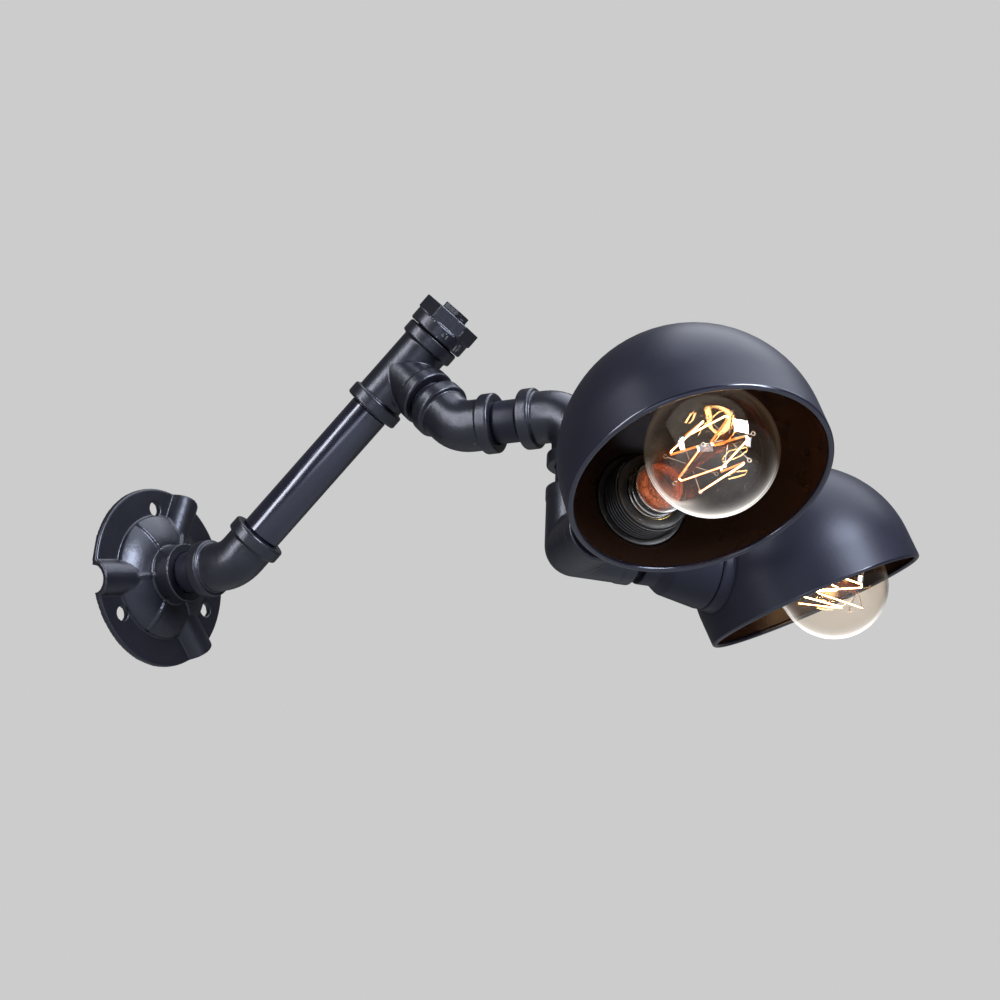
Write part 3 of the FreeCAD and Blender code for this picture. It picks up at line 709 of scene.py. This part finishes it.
def whirled(net, count, start, part):
    """Copies of a part round the Z axis, the first one turned by start."""
    line = net.add("GeometryNodeMeshLine", {"Count": count, "Offset": (0.0, 0.0, 0.0)})
    turn = net.add("GeometryNodeInputIndex") * (2 * pi) / count + start
    return net.add("GeometryNodeInstanceOnPoints", {
        "Points": line, "Instance": part, "Rotation": vector(net, Z=turn)})


def screw_thread(net, radius, low, high, pitch, bead):
    """One bead wound round the axis from low to high."""
    path = net.add("GeometryNodeCurveSpiral", {
        "Resolution": 72, "Rotations": (high - low) / pitch, "Height": high - low,
        "Start Radius": radius, "End Radius": radius})
    raised = net.add("GeometryNodeSetPosition", {"Geometry": path, "Offset": vector(net, Z=low)})
    return round_wire(net, raised, bead, 8)


def zigzag_cage(net, loops, radius, low, high, bend, wire):
    """A wire that runs low and high in turn round the axis, as a lamp's filament does."""
    count = loops * 2.0
    index = net.add("GeometryNodeInputIndex")
    turn = (index + 0.5) * (2 * pi) / count
    place = vector(net, X=turn.math("COSINE") * radius, Y=turn.math("SINE") * radius,
                   Z=index.math("MODULO", 2.0) * (high - low) + low)
    corners = net.add("GeometryNodeSetPosition", {
        "Geometry": net.add("GeometryNodeMeshLine", {"Count": count}), "Position": place})
    path = net.add("GeometryNodeMeshToCurve", {"Mesh": corners})
    soft = net.add("GeometryNodeFilletCurve", {
        "Curve": path, "Count": 6, "Radius": bend, "Limit Radius": True}, {"mode": "POLY"})
    return round_wire(net, soft, wire)


def hook_star(net, loops, start, foot, reach, level, wire, eye):
    """Support wires that leave a button and end in an eye round the filament's bends."""
    straight = net.add("GeometryNodeCurvePrimitiveLine", {
        "Start": vector(net, X=foot, Z=level), "End": vector(net, X=reach - eye, Z=level)})
    ring = net.add("GeometryNodeCurvePrimitiveCircle", {"Resolution": 16, "Radius": eye})
    placed = net.add("GeometryNodeTransform", {
        "Geometry": ring, "Translation": vector(net, X=reach, Z=level)})
    both = net.add("GeometryNodeJoinGeometry")
    for part in (straight, placed):
        net.tree.links.new(round_wire(net, part, wire, 8).socket, both.socket.node.inputs[0])
    return whirled(net, loops, start, both)


# --- operators: pipework

class PieceOperator:
    """What all the operators share; each makes its pieces in make."""
    bl_options = {"REGISTER", "UNDO"}

    def execute(self, context):
        self.make()
        return {"FINISHED"}


class PIPELIGHT_OT_castings(PieceOperator, Operator):
    """Make the cast fittings, the wall flange and the tee's plug"""
    bl_idname = "pipe_light.castings"
    bl_label = "Castings"

    def make(self):
        for node, body, *fineness in (
            ("wall_flange", "base", 0.0006, 3),
            ("lower_elbow", "arm"),
            ("arm_tee", "arm"),
            ("tee_plug", "arm", 0.0004, 4),
            ("upper_elbow", "arm"),
            ("drop_elbow", "arm"),
            ("corner_fitting", "cluster", 0.00055),
        ):
            seat(casting_copy(node, *fineness), body, "cast_iron", node)


THREAD_EDGE, END_EDGE = 0.0003, 0.0001


def pipe(name, spot, near, far, body, bare=(1, 1), coat="satin_enamel"):
    """A pipe that goes into fittings whose faces are at near and far on the spot's axis.

    Its thread shows beyond each face for a share of the usual bare length.
    """
    f = chosen("fitting")
    outer, inner, bead = f.pipe_od / 2, f.pipe_bore / 2, f.thread_relief
    root = outer - bead
    low, high = near - f.thread_depth, far + f.thread_depth
    start, end = near + f.bare_thread * bare[0], far - f.bare_thread * bare[1]
    middle, threads = [], ((low, high),)
    if end - start > bead * 4:
        middle = [(root, start - bead, THREAD_EDGE), (outer, start, THREAD_EDGE),
                  (outer, end, THREAD_EDGE), (root, end + bead, THREAD_EDGE)]
        threads = ((low, start - bead), (end + bead, high))
    ends = [(root, high, END_EDGE), (inner, high)]
    outline = rounded([(inner, low), (root, low, END_EDGE), *middle, *ends], 3)
    seat(new_piece(name + "_tube", lathe(outline, spot), coat), body, "black_pipe", name)
    for i, (first, last) in enumerate(threads):
        thread = grown("%s_thread_%d" % (name, i + 1), spot, "satin_enamel", screw_thread, radius=outer - bead,
                       low=first + bead, high=last - bead, pitch=f.thread_pitch, bead=bead)
        seat(thread, body, "black_pipe")


class PIPELIGHT_OT_pipes(PieceOperator, Operator):
    """Make the lengths of pipe between the fittings"""
    bl_idname = "pipe_light.pipes"
    bl_label = "Pipes"

    def make(self):
        at, way = route()
        f, r = chosen("fitting"), chosen("route")
        small = f.elbow_arm
        for name, origin, axis, near, far, body, *look in (
            ("flange_nipple", Vector(), OUT, f.hub_height, r.wall_to_elbow - small, "base"),
            ("arm_pipe", at["elbow"], way["arm"], small, r.arm_length - f.tee_arm, "arm", (0.5, 0.5),
             "gloss_pipe"),
            ("branch_nipple", at["tee"], way["branch"], f.tee_arm, r.branch_drop - small, "arm"),
            ("outreach_nipple", at["upper"], way["out"], small, r.outreach - f.drop_arm, "arm", (0.5, 1)),
            ("drop_nipple", at["drop"], way["down"], f.drop_arm, r.lamp_drop - f.corner_arm, "arm", (1.5, 1.5)),
        ):
            pipe(name, spot_at(origin, axis, UP + RIGHT), near, far, body, *look)
        for side in SIDES:
            pipe(side + "_port_nipple", head_spot(side), f.corner_arm,
                 f.cup_floor - f.seat_gap - f.thread_depth, "cluster", (1, 0))


# --- operators: lamp heads

LEAD_HOLE = 0.004
# how finely a shade is cut: round it, along the bowl, and along the flare between neck and bowl
SHADE_SIDES, SHADE_STAGES, FLARE_STAGES = 160, 56, 7
SHADE_BEND, SHADE_FILLET, SHADE_CLEARANCE = 0.0016, 0.002, 0.0004
HOLDER_RELIEF, HOLDER_PITCH = 0.0006, 0.0024
CAP_RELIEF, CAP_PITCH = 0.0005, 0.0036
# how far the bulb's neck reaches back into its cap, and how finely the glass is cut
NECK_REACH = 0.0068
NECK_STEPS, BALL_STEPS = 24, 60
STEM_TUBE, STEM_ROD = 0.0044, 0.0022
# above the stem's flare: where its red painted glow ends, and over what length it fades
RED_GLOW_END, RED_GLOW_FADE = 0.011, 0.008
BUTTON, BUTTON_BORE, BUTTON_HALF = 0.0032, 0.00225, 0.0008
HOOK_WIRE, HOOK_EYE = 0.00022, 0.0009
FILAMENT_BEND = 0.0011


class Head:
    """One lamp head: its side, its frame, and the pieces that ride on it."""

    def __init__(self, side):
        self.side = side
        self.spot = head_spot(side)

    def named(self, name):
        return self.side + "_" + name

    def seated(self, piece, slot, *nodes):
        seat(piece, self.named("head"), slot, *map(self.named, nodes))

    def turned(self, name, outline, coat, slot, *nodes, segments=96):
        """A piece that a lathe could turn, seated in place of its nodes."""
        self.seated(new_piece(self.named(name), lathe(outline, self.spot, segments), coat), slot, *nodes)

    def grown(self, name, coat, grow, slot, *nodes, **sizes):
        """A piece grown by a pattern of nodes, seated in place of its nodes."""
        self.seated(grown(self.named(name), self.spot, coat, grow, **sizes), slot, *nodes)


def heads():
    return [Head(side) for side in SIDES]


class PIPELIGHT_OT_cups(PieceOperator, Operator):
    """Make the bell-shaped cups behind the shades"""
    bl_idname = "pipe_light.cups"
    bl_label = "Socket Cups"

    def make(self):
        f = chosen("fitting")
        wall, bore = f.cup_wall, f.pipe_od / 2 + 0.00005
        shoulder = f.cup_floor + wall
        neck, wide, mouth = f.cup_neck_od / 2, f.cup_shoulder_od / 2, f.cup_mouth_od / 2
        outline = rounded([
            (bore, f.cup_start), (neck, f.cup_start, 0.0008), (neck, f.cup_floor - wall * 1.6, 0.003),
            (wide, shoulder + wall, 0.0035), (mouth - 0.0001, f.cup_end - 0.0025, 0.002),
            (mouth, f.cup_end, 0.0006), (mouth - wall, f.cup_end, 0.0004),
            (wide - wall, shoulder + wall, 0.002), (wide - wall * 2, shoulder, 0.001),
            (LEAD_HOLE, shoulder), (LEAD_HOLE, f.cup_floor), (bore, f.cup_floor)])
        for head in heads():
            head.turned("bell_cup", outline, "satin_enamel", "black_enamel", "socket_cup", segments=128)


def shade_mouth():
    """In a head's frame: the rim's centre, and the way that the mouth opens."""
    lamp = chosen("lamp")
    return (Vector((lamp.shade_drop, 0, lamp.shade_centre)),
            Vector((sin(lamp.shade_tilt), 0, cos(lamp.shade_tilt))))


def shade_skin(spot, inset):
    """One skin of the shade as rings from the hole in its seat plate to the rim."""
    lamp = chosen("lamp")
    radius, neck = lamp.shade_od / 2 - inset, lamp.neck_od / 2 - inset
    hole, plate = lamp.holder_od / 2 + SHADE_CLEARANCE, lamp.seat_plate + inset
    rim, mouth = shade_mouth()
    centre = rim - mouth * lamp.shade_skirt
    in_plane = Vector((mouth.z, 0, -mouth.x))

    def on_bowl(way):
        """Where a ray from the bowl's centre meets the ball, or the straight skirt toward the mouth."""
        toward, reach = way.dot(mouth), radius
        if toward > 0:
            reach = min(radius / sqrt(max(1 - toward * toward, 1e-9)), lamp.shade_skirt / toward)
        return spot @ (centre + way * reach)

    starts, ends = [], []
    for turn in around(SHADE_SIDES):
        reach = neck + SHADE_FILLET
        way = Vector((reach * cos(turn), reach * sin(turn), 0)) - Vector((centre.x, 0, 0))
        way.z = -sqrt(radius * radius - way.x ** 2 - way.y ** 2)
        starts.append(way.normalized())
        edge = rim + (in_plane * cos(turn) + Vector((0, 1, 0)) * sin(turn)) * radius
        ends.append((edge - centre).normalized())
    rings = [circle(spot, *corner, SHADE_SIDES)
             for corner in rounded([(hole, plate), (neck, plate, SHADE_BEND), (neck, plate + 0.02)])[:-1]]
    # a short flare joins the straight neck to the bowl
    axis = spot.to_3x3() @ UP
    seam = [on_bowl(way) for way in starts]
    tube = [foot + axis * ((top - foot).dot(axis) - SHADE_FILLET)
            for foot, top in zip(circle(spot, neck, 0, SHADE_SIDES), seam)]
    for share in (k / FLARE_STAGES for k in range(1, FLARE_STAGES)):
        ring = []
        for low, high in zip(tube, seam):
            corner = low + axis * (SHADE_FILLET * 0.9)
            ring.append(low.lerp(corner, share).lerp(corner.lerp(high, share), share))
        rings.append(ring)
    for share in (k / SHADE_STAGES for k in range(SHADE_STAGES + 1)):
        rings.append([on_bowl(start.slerp(end, share)) for start, end in zip(starts, ends)])
    return rings


def bridge(maker, low, high, flip=False):
    """Adds the faces between two rows of vertices."""
    for i in range(len(low)):
        k = (i + 1) % len(low)
        corners = (low[i], low[k], high[k], high[i])
        maker.faces.new(corners[::-1] if flip else corners)


def joined_rings(maker, rings, flip=False):
    """Adds rings of points and the faces between neighbours; returns the rows of vertices."""
    rows = [[maker.verts.new(point) for point in ring] for ring in rings]
    for low, high in zip(rows, rows[1:]):
        bridge(maker, low, high, flip)
    return rows


class PIPELIGHT_OT_shades(PieceOperator, Operator):
    """Make the two bowl shades with their rolled hems"""
    bl_idname = "pipe_light.shades"
    bl_label = "Shades"

    def make(self):
        lamp = chosen("lamp")
        rim, mouth = shade_mouth()
        bead = lamp.hem_od / 2
        ring = lamp.shade_od / 2 - bead
        section = [Vector((ring + bead * cos(t), bead * sin(t))) for t in around(20)]
        for head in heads():
            maker = bmesh.new()
            outer = joined_rings(maker, shade_skin(head.spot, 0.0))
            inner = joined_rings(maker, shade_skin(head.spot, lamp.shade_wall), True)
            bridge(maker, outer[-1], inner[-1])
            bridge(maker, inner[0], outer[0])
            bmesh.ops.recalc_face_normals(maker, faces=maker.faces[:])
            shade = new_piece(head.named("bowl"), maker, "satin_enamel", SHADE_CREASE)
            half = len(shade.data.vertices) // 2
            # marks the inner skin, which the enamel tints brown as painted warm light
            paint(shade.data, "lining", [0.0] * half + [1.0] * half)
            head.seated(shade, "black_enamel", "shade")
            opening = spot_at(head.spot @ rim, head.spot.to_3x3() @ mouth, UP + RIGHT)
            hem = new_piece(head.named("hem"), lathe(section, opening, 192), "gloss_pipe")
            head.seated(hem, "black_enamel")


class PIPELIGHT_OT_holders(PieceOperator, Operator):
    """Make the lamp holders, their screw shells and ring nuts"""
    bl_idname = "pipe_light.holders"
    bl_label = "Lamp Holders"

    def make(self):
        lamp, f = chosen("lamp"), chosen("fitting")
        sleeve, spine = lamp.holder_od / 2, 0.009
        root, waist = sleeve - HOLDER_RELIEF, sleeve - f.cup_wall * 2
        back, front, floor = lamp.holder_back, lamp.holder_end, lamp.holder_floor
        entry = f.cup_floor + f.cup_wall + f.seat_gap
        bore = lamp.shell_bore / 2
        well = bore + lamp.shell_wall + 0.0001
        body = rounded([
            (LEAD_HOLE, entry), (spine, entry, 0.001), (spine, back, 0.0015), (waist, back, 0.001),
            (waist, back + sleeve / 3, 0.0005), (root, back + sleeve / 2.5, 0.0008),
            (root, front - 0.002, 0.0006), (sleeve - HOLDER_RELIEF * 2, front, 0.0006), (well, front, 0.0008),
            (well, floor), (LEAD_HOLE / 2, floor), (LEAD_HOLE / 2, back + f.cup_wall), (LEAD_HOLE, back)])
        low, high = floor + f.seat_gap, front - f.cup_wall
        shell = rounded([(bore, low), (bore + lamp.shell_wall, low), (bore + lamp.shell_wall, high, 0.0001),
                         (bore, high, 0.0001)], 2)
        hole, outer = sleeve + 0.00005, lamp.neck_od / 2 - lamp.shade_wall - f.seat_gap
        low = lamp.seat_plate + lamp.shade_wall + 0.0002
        top = low + lamp.ring_height
        nut = rounded([(hole, low), (outer, low, 0.0004), (outer, top, 0.0005), (hole, top, 0.0005)], 3)
        for head in heads():
            head.turned("holder_body", body, "holder_moulding", "holder_body", "lamp_holder")
            head.grown("holder_thread", "holder_moulding", screw_thread, "holder_body", radius=root,
                       pitch=HOLDER_PITCH, low=back + sleeve / 2, high=front - HOLDER_RELIEF * 2,
                       bead=HOLDER_RELIEF)
            head.turned("brass_shell", shell, "pressed_brass", "contact_brass", "screw_shell")
            head.turned("clamp_ring", nut, "holder_moulding", "black_enamel", "ring_nut")


def bulb_outline(ball, neck, blend, low):
    """Half-outline of a bulb from the neck's low end to the crown."""
    reach, whole = neck + blend, ball + blend
    rise = sqrt(whole * whole - reach * reach)
    centre = chosen("lamp").bulb_centre
    points = [(neck, low), (neck, (low + centre - rise) / 2)]
    opening = asin(reach / whole)
    for k in range(NECK_STEPS + 1):
        turn = (pi / 2 - opening) * k / NECK_STEPS
        points.append((reach - blend * cos(turn), centre - rise + blend * sin(turn)))
    for k in range(1, BALL_STEPS + 1):
        turn = opening + (pi - opening) * k / BALL_STEPS
        points.append((ball * sin(turn) if k < BALL_STEPS else 0.0, centre - ball * cos(turn)))
    return [Vector(point) for point in points]


class PIPELIGHT_OT_bulbs(PieceOperator, Operator):
    """Make the glass, the screw cap, the stem and the filament of each bulb"""
    bl_idname = "pipe_light.bulbs"
    bl_label = "Bulbs"

    def make(self):
        for head in heads():
            for part in (self.glass, self.cap, self.stem, self.filament):
                part(head, chosen("lamp"))

    def glass(self, head, lamp):
        """The thin envelope, from the neck inside the cap to the crown."""
        low, wall, neck = lamp.cap_end - NECK_REACH, lamp.glass_wall, lamp.bulb_neck_od / 2 - 0.00045
        outer = bulb_outline(lamp.bulb_od / 2, neck, lamp.neck_blend, low)
        inner = bulb_outline(lamp.bulb_od / 2 - wall, neck - wall, lamp.neck_blend + wall, low)
        maker = lathe(outer + inner[::-1], head.spot, 128)
        glass = new_piece(head.named("envelope"), maker, "blown_glass", 0)
        middle = (head.spot @ Vector((0, 0, lamp.bulb_centre))).z
        # how far each point lies below the ball's middle: the mask of the painted highlight on the glass
        depths = [(middle - point.co.z) * 2 / lamp.bulb_od for point in glass.data.vertices]
        paint(glass.data, "low_side", depths)
        head.seated(glass, "bulb_glass", "bulb_glass")

    def cap(self, head, lamp):
        """The rolled screw cap: a thin shell with a bead of thread round it."""
        outer, inner = lamp.cap_od / 2, lamp.bulb_neck_od / 2 - 0.0004
        root, low, high = outer - CAP_RELIEF, lamp.cap_start, lamp.cap_end
        outline = rounded([(inner, low), (root, low, 0.0003), (root, high - 0.003, 0.0004),
                           (outer, high - 0.0022, 0.0004), (outer, high, 0.0002), (inner, high)], 3)
        head.turned("rolled_cap", outline, "rolled_cap", "bulb_cap", "bulb_cap")
        head.grown("cap_thread", "rolled_cap", screw_thread, "bulb_cap", radius=root, low=low + 0.0015,
                   high=high - 0.0035, pitch=CAP_PITCH, bead=CAP_RELIEF)

    def stem(self, head, lamp):
        """The glass mount: a flare across the neck that narrows to a tube and a pinched rod."""
        flare, low, wide = lamp.bulb_neck_od / 2 - 0.002, lamp.cap_end - NECK_REACH, lamp.cap_end + 0.0012
        outline = rounded([(flare, low), (flare, wide, 0.0012), (STEM_TUBE, wide + 0.006, 0.004),
                           (STEM_TUBE, wide + 0.0165, 0.003), (STEM_ROD, wide + 0.02, 0.002),
                           (STEM_ROD, lamp.cage_high + 0.0012, 0.0015), (0.0, lamp.cage_high + 0.0026)], 6)
        maker = lathe(outline, head.spot, 64, closed=False)
        stem = new_piece(head.named("mount_glass"), maker, "stem_tube_glass", 0)
        # the share of painted red glow at each point: full in the neck, fading above the flare
        heights = [(head.spot.inverted() @ point.co).z - wide for point in stem.data.vertices]
        paint(stem.data, "neck", [min(1.0, max(0.0, (RED_GLOW_END - height) / RED_GLOW_FADE)) for height in heights])
        head.seated(stem, "stem_glass", "bulb_stem")

    def filament(self, head, lamp):
        """The lit cage, and the two glass buttons whose wires hold its bends."""
        loops, reach = lamp.cage_loops, lamp.cage_od / 2
        head.grown("lit_cage", "lit_filament", zigzag_cage, "filament_wire", "filament", loops=loops,
                   radius=reach, low=lamp.cage_low, high=lamp.cage_high, bend=FILAMENT_BEND,
                   wire=lamp.filament_od / 2)
        for i, level in enumerate((lamp.cage_low, lamp.cage_high)):
            low, high = level - BUTTON_HALF, level + BUTTON_HALF
            outline = rounded([(BUTTON_BORE, low), (BUTTON, low, 0.0005), (BUTTON, high, 0.0005),
                               (BUTTON_BORE, high)], 4)
            head.turned("button_%d" % (i + 1), outline, "stem_tube_glass", "stem_glass", segments=48)
            head.grown("hooks_%d" % (i + 1), "hook_wire", hook_star, "filament_wire",
                       *(["filament_hooks"] if i else []), loops=loops, start=pi / loops * (i + 0.5),
                       foot=BUTTON - 0.0005, reach=reach, level=level, wire=HOOK_WIRE, eye=HOOK_EYE)


# --- operators: carried-over nodes

KEPT_FINISHES = {
    "centre_contact": "pressed_brass",
    "bulb_base": "vitreous_base",
    "bulb_contact": "rolled_cap",
    "cable": "cable_rubber",
    "splice": "splice_plastic",
}


class PIPELIGHT_OT_kept_nodes(PieceOperator, Operator):
    """Give the inner pieces that keep their own shape their finishes"""
    bl_idname = "pipe_light.kept_nodes"
    bl_label = "Inner Pieces"

    def make(self):
        for name, node in frame["nodes"].items():
            for ending, coat in KEPT_FINISHES.items():
                if name.endswith(ending):
                    coated(node.data, coat)


# --- operator: stage

MIDDLE = Vector((0.0, -0.25, 0.0))
WHITE, COOL = (1, 1, 1), (0.86, 0.91, 1.0)
# name, place, width and height, watts and tint of each lamp; all are aimed at the middle
LAMPS = (
    ("overhead_softbox", (0.1, -0.7, 1.3), (1.6, 1.4), 33, COOL),
    ("left_strip", (-1.24, 0.2, 0.22), (0.24, 1.3), 27, WHITE),
    ("front_window", (-0.42, -1.6, 0.55), (0.6, 0.6), 70, COOL),
    ("low_window", (-0.15, -1.8, 0.02), (0.25, 0.35), 6, COOL),
    ("camera_fill", (-0.95, -0.62, -0.36), (0.4, 0.2), 1.5, COOL),
)
SENSOR, NEAREST = 36.0, 0.01
FLOOR_HALF = 4.0


class PIPELIGHT_OT_stage(PieceOperator, Operator):
    """Set the camera, the soft lamps, the plain floor and the grey backdrop"""
    bl_idname = "pipe_light.stage"
    bl_label = "Stage"

    def make(self):
        stage = chosen("stage")
        self.camera(stage)
        self.floor(stage)
        self.world(stage)
        for lamp in LAMPS:
            self.lamp(*lamp)

    def aimed(self, name, data, place, way, roll=0.0):
        """A lamp or a camera that looks along a way."""
        made = linked(name, data)
        turn = way.to_track_quat("-Z", "Y").to_matrix() @ Matrix.Rotation(roll, 3, "Z")
        made.matrix_world = Matrix.Translation(place) @ turn.to_4x4()
        return made

    def lamp(self, name, place, size, watts, tint):
        light = bpy.data.lights.new(name, "AREA")
        light.shape = "RECTANGLE"
        light.size, light.size_y = size
        light.energy = watts
        light.color = tint
        self.aimed(name, light, place, MIDDLE - Vector(place))

    def camera(self, stage):
        data = bpy.data.cameras.new("viewpoint")
        data.lens = stage.camera_lens
        data.sensor_width = SENSOR
        data.clip_start = NEAREST
        yaw, pitch = stage.camera_yaw, stage.camera_pitch
        way = Vector((sin(yaw) * cos(pitch), cos(yaw) * cos(pitch), sin(pitch)))
        bpy.context.scene.camera = self.aimed("viewpoint", data, stage.camera_place, way, stage.camera_roll)

    def floor(self, stage):
        maker = bmesh.new()
        bmesh.ops.create_grid(maker, x_segments=2, y_segments=2, size=FLOOR_HALF,
                              matrix=Matrix.Translation((0, 0, stage.floor_height)))
        new_piece("floor", maker, "pale_floor", 0)

    def world(self, stage):
        """A plain grey: one level for the camera, one for what shines and one for the light all round."""
        world = bpy.data.worlds.new("grey_backdrop")
        bpy.context.scene.world = world
        net = emptied(world)
        ray = net.add("ShaderNodeLightPath", output="Is Camera Ray")
        seen = ray.math("MAXIMUM", ray.sibling("Is Transmission Ray"))
        level = (seen * (stage.backdrop - stage.ambient) + stage.ambient
                 + ray.sibling("Is Glossy Ray") * (stage.reflected - stage.ambient))
        back = net.add("ShaderNodeBackground", {"Color": (1, 1, 1, 1), "Strength": level})
        net.add("ShaderNodeOutputWorld", {"Surface": back})


# --- panel and registration

# in the order in which they stand above
OPERATORS = tuple(PieceOperator.__subclasses__())
GROUPS = {
    "route": PipeRoute,
    "fitting": FittingSizes,
    "lamp": LampSizes,
    "finish": FinishChoices,
    "stage": StageChoices,
}


class PIPELIGHT_PT_panel(Panel):
    """Lists the pieces of the light and the choices behind them"""
    bl_label = "Pipe Wall Light"
    bl_space_type = "VIEW_3D"
    bl_region_type = "UI"
    bl_category = "Pipe Light"

    def draw(self, context):
        for operator in OPERATORS:
            self.layout.operator(operator.bl_idname)
        for group, kind in GROUPS.items():
            box = self.layout.box()
            box.label(text=kind.__doc__)
            for name in kind.__annotations__:
                label = name.replace("_od", "_diameter").replace("_", " ").title()
                box.prop(chosen(group), name, text=label)


CLASSES = (*GROUPS.values(), *OPERATORS, PIPELIGHT_PT_panel)


def register():
    for kind in CLASSES:
        bpy.utils.register_class(kind)
    for group, kind in GROUPS.items():
        setattr(Scene, "pipe_light_" + group, PointerProperty(type=kind))


def unregister():
    for group in GROUPS:
        delattr(Scene, "pipe_light_" + group)
    for kind in reversed(CLASSES):
        bpy.utils.unregister_class(kind)


def main():
    register()
    bpy.context.scene.view_settings.view_transform = "Standard"
    check_route()
    for operator in OPERATORS:
        group, action = operator.bl_idname.split(".")
        getattr(getattr(bpy.ops, group), action)()


if __name__ == "__main__":
    main()
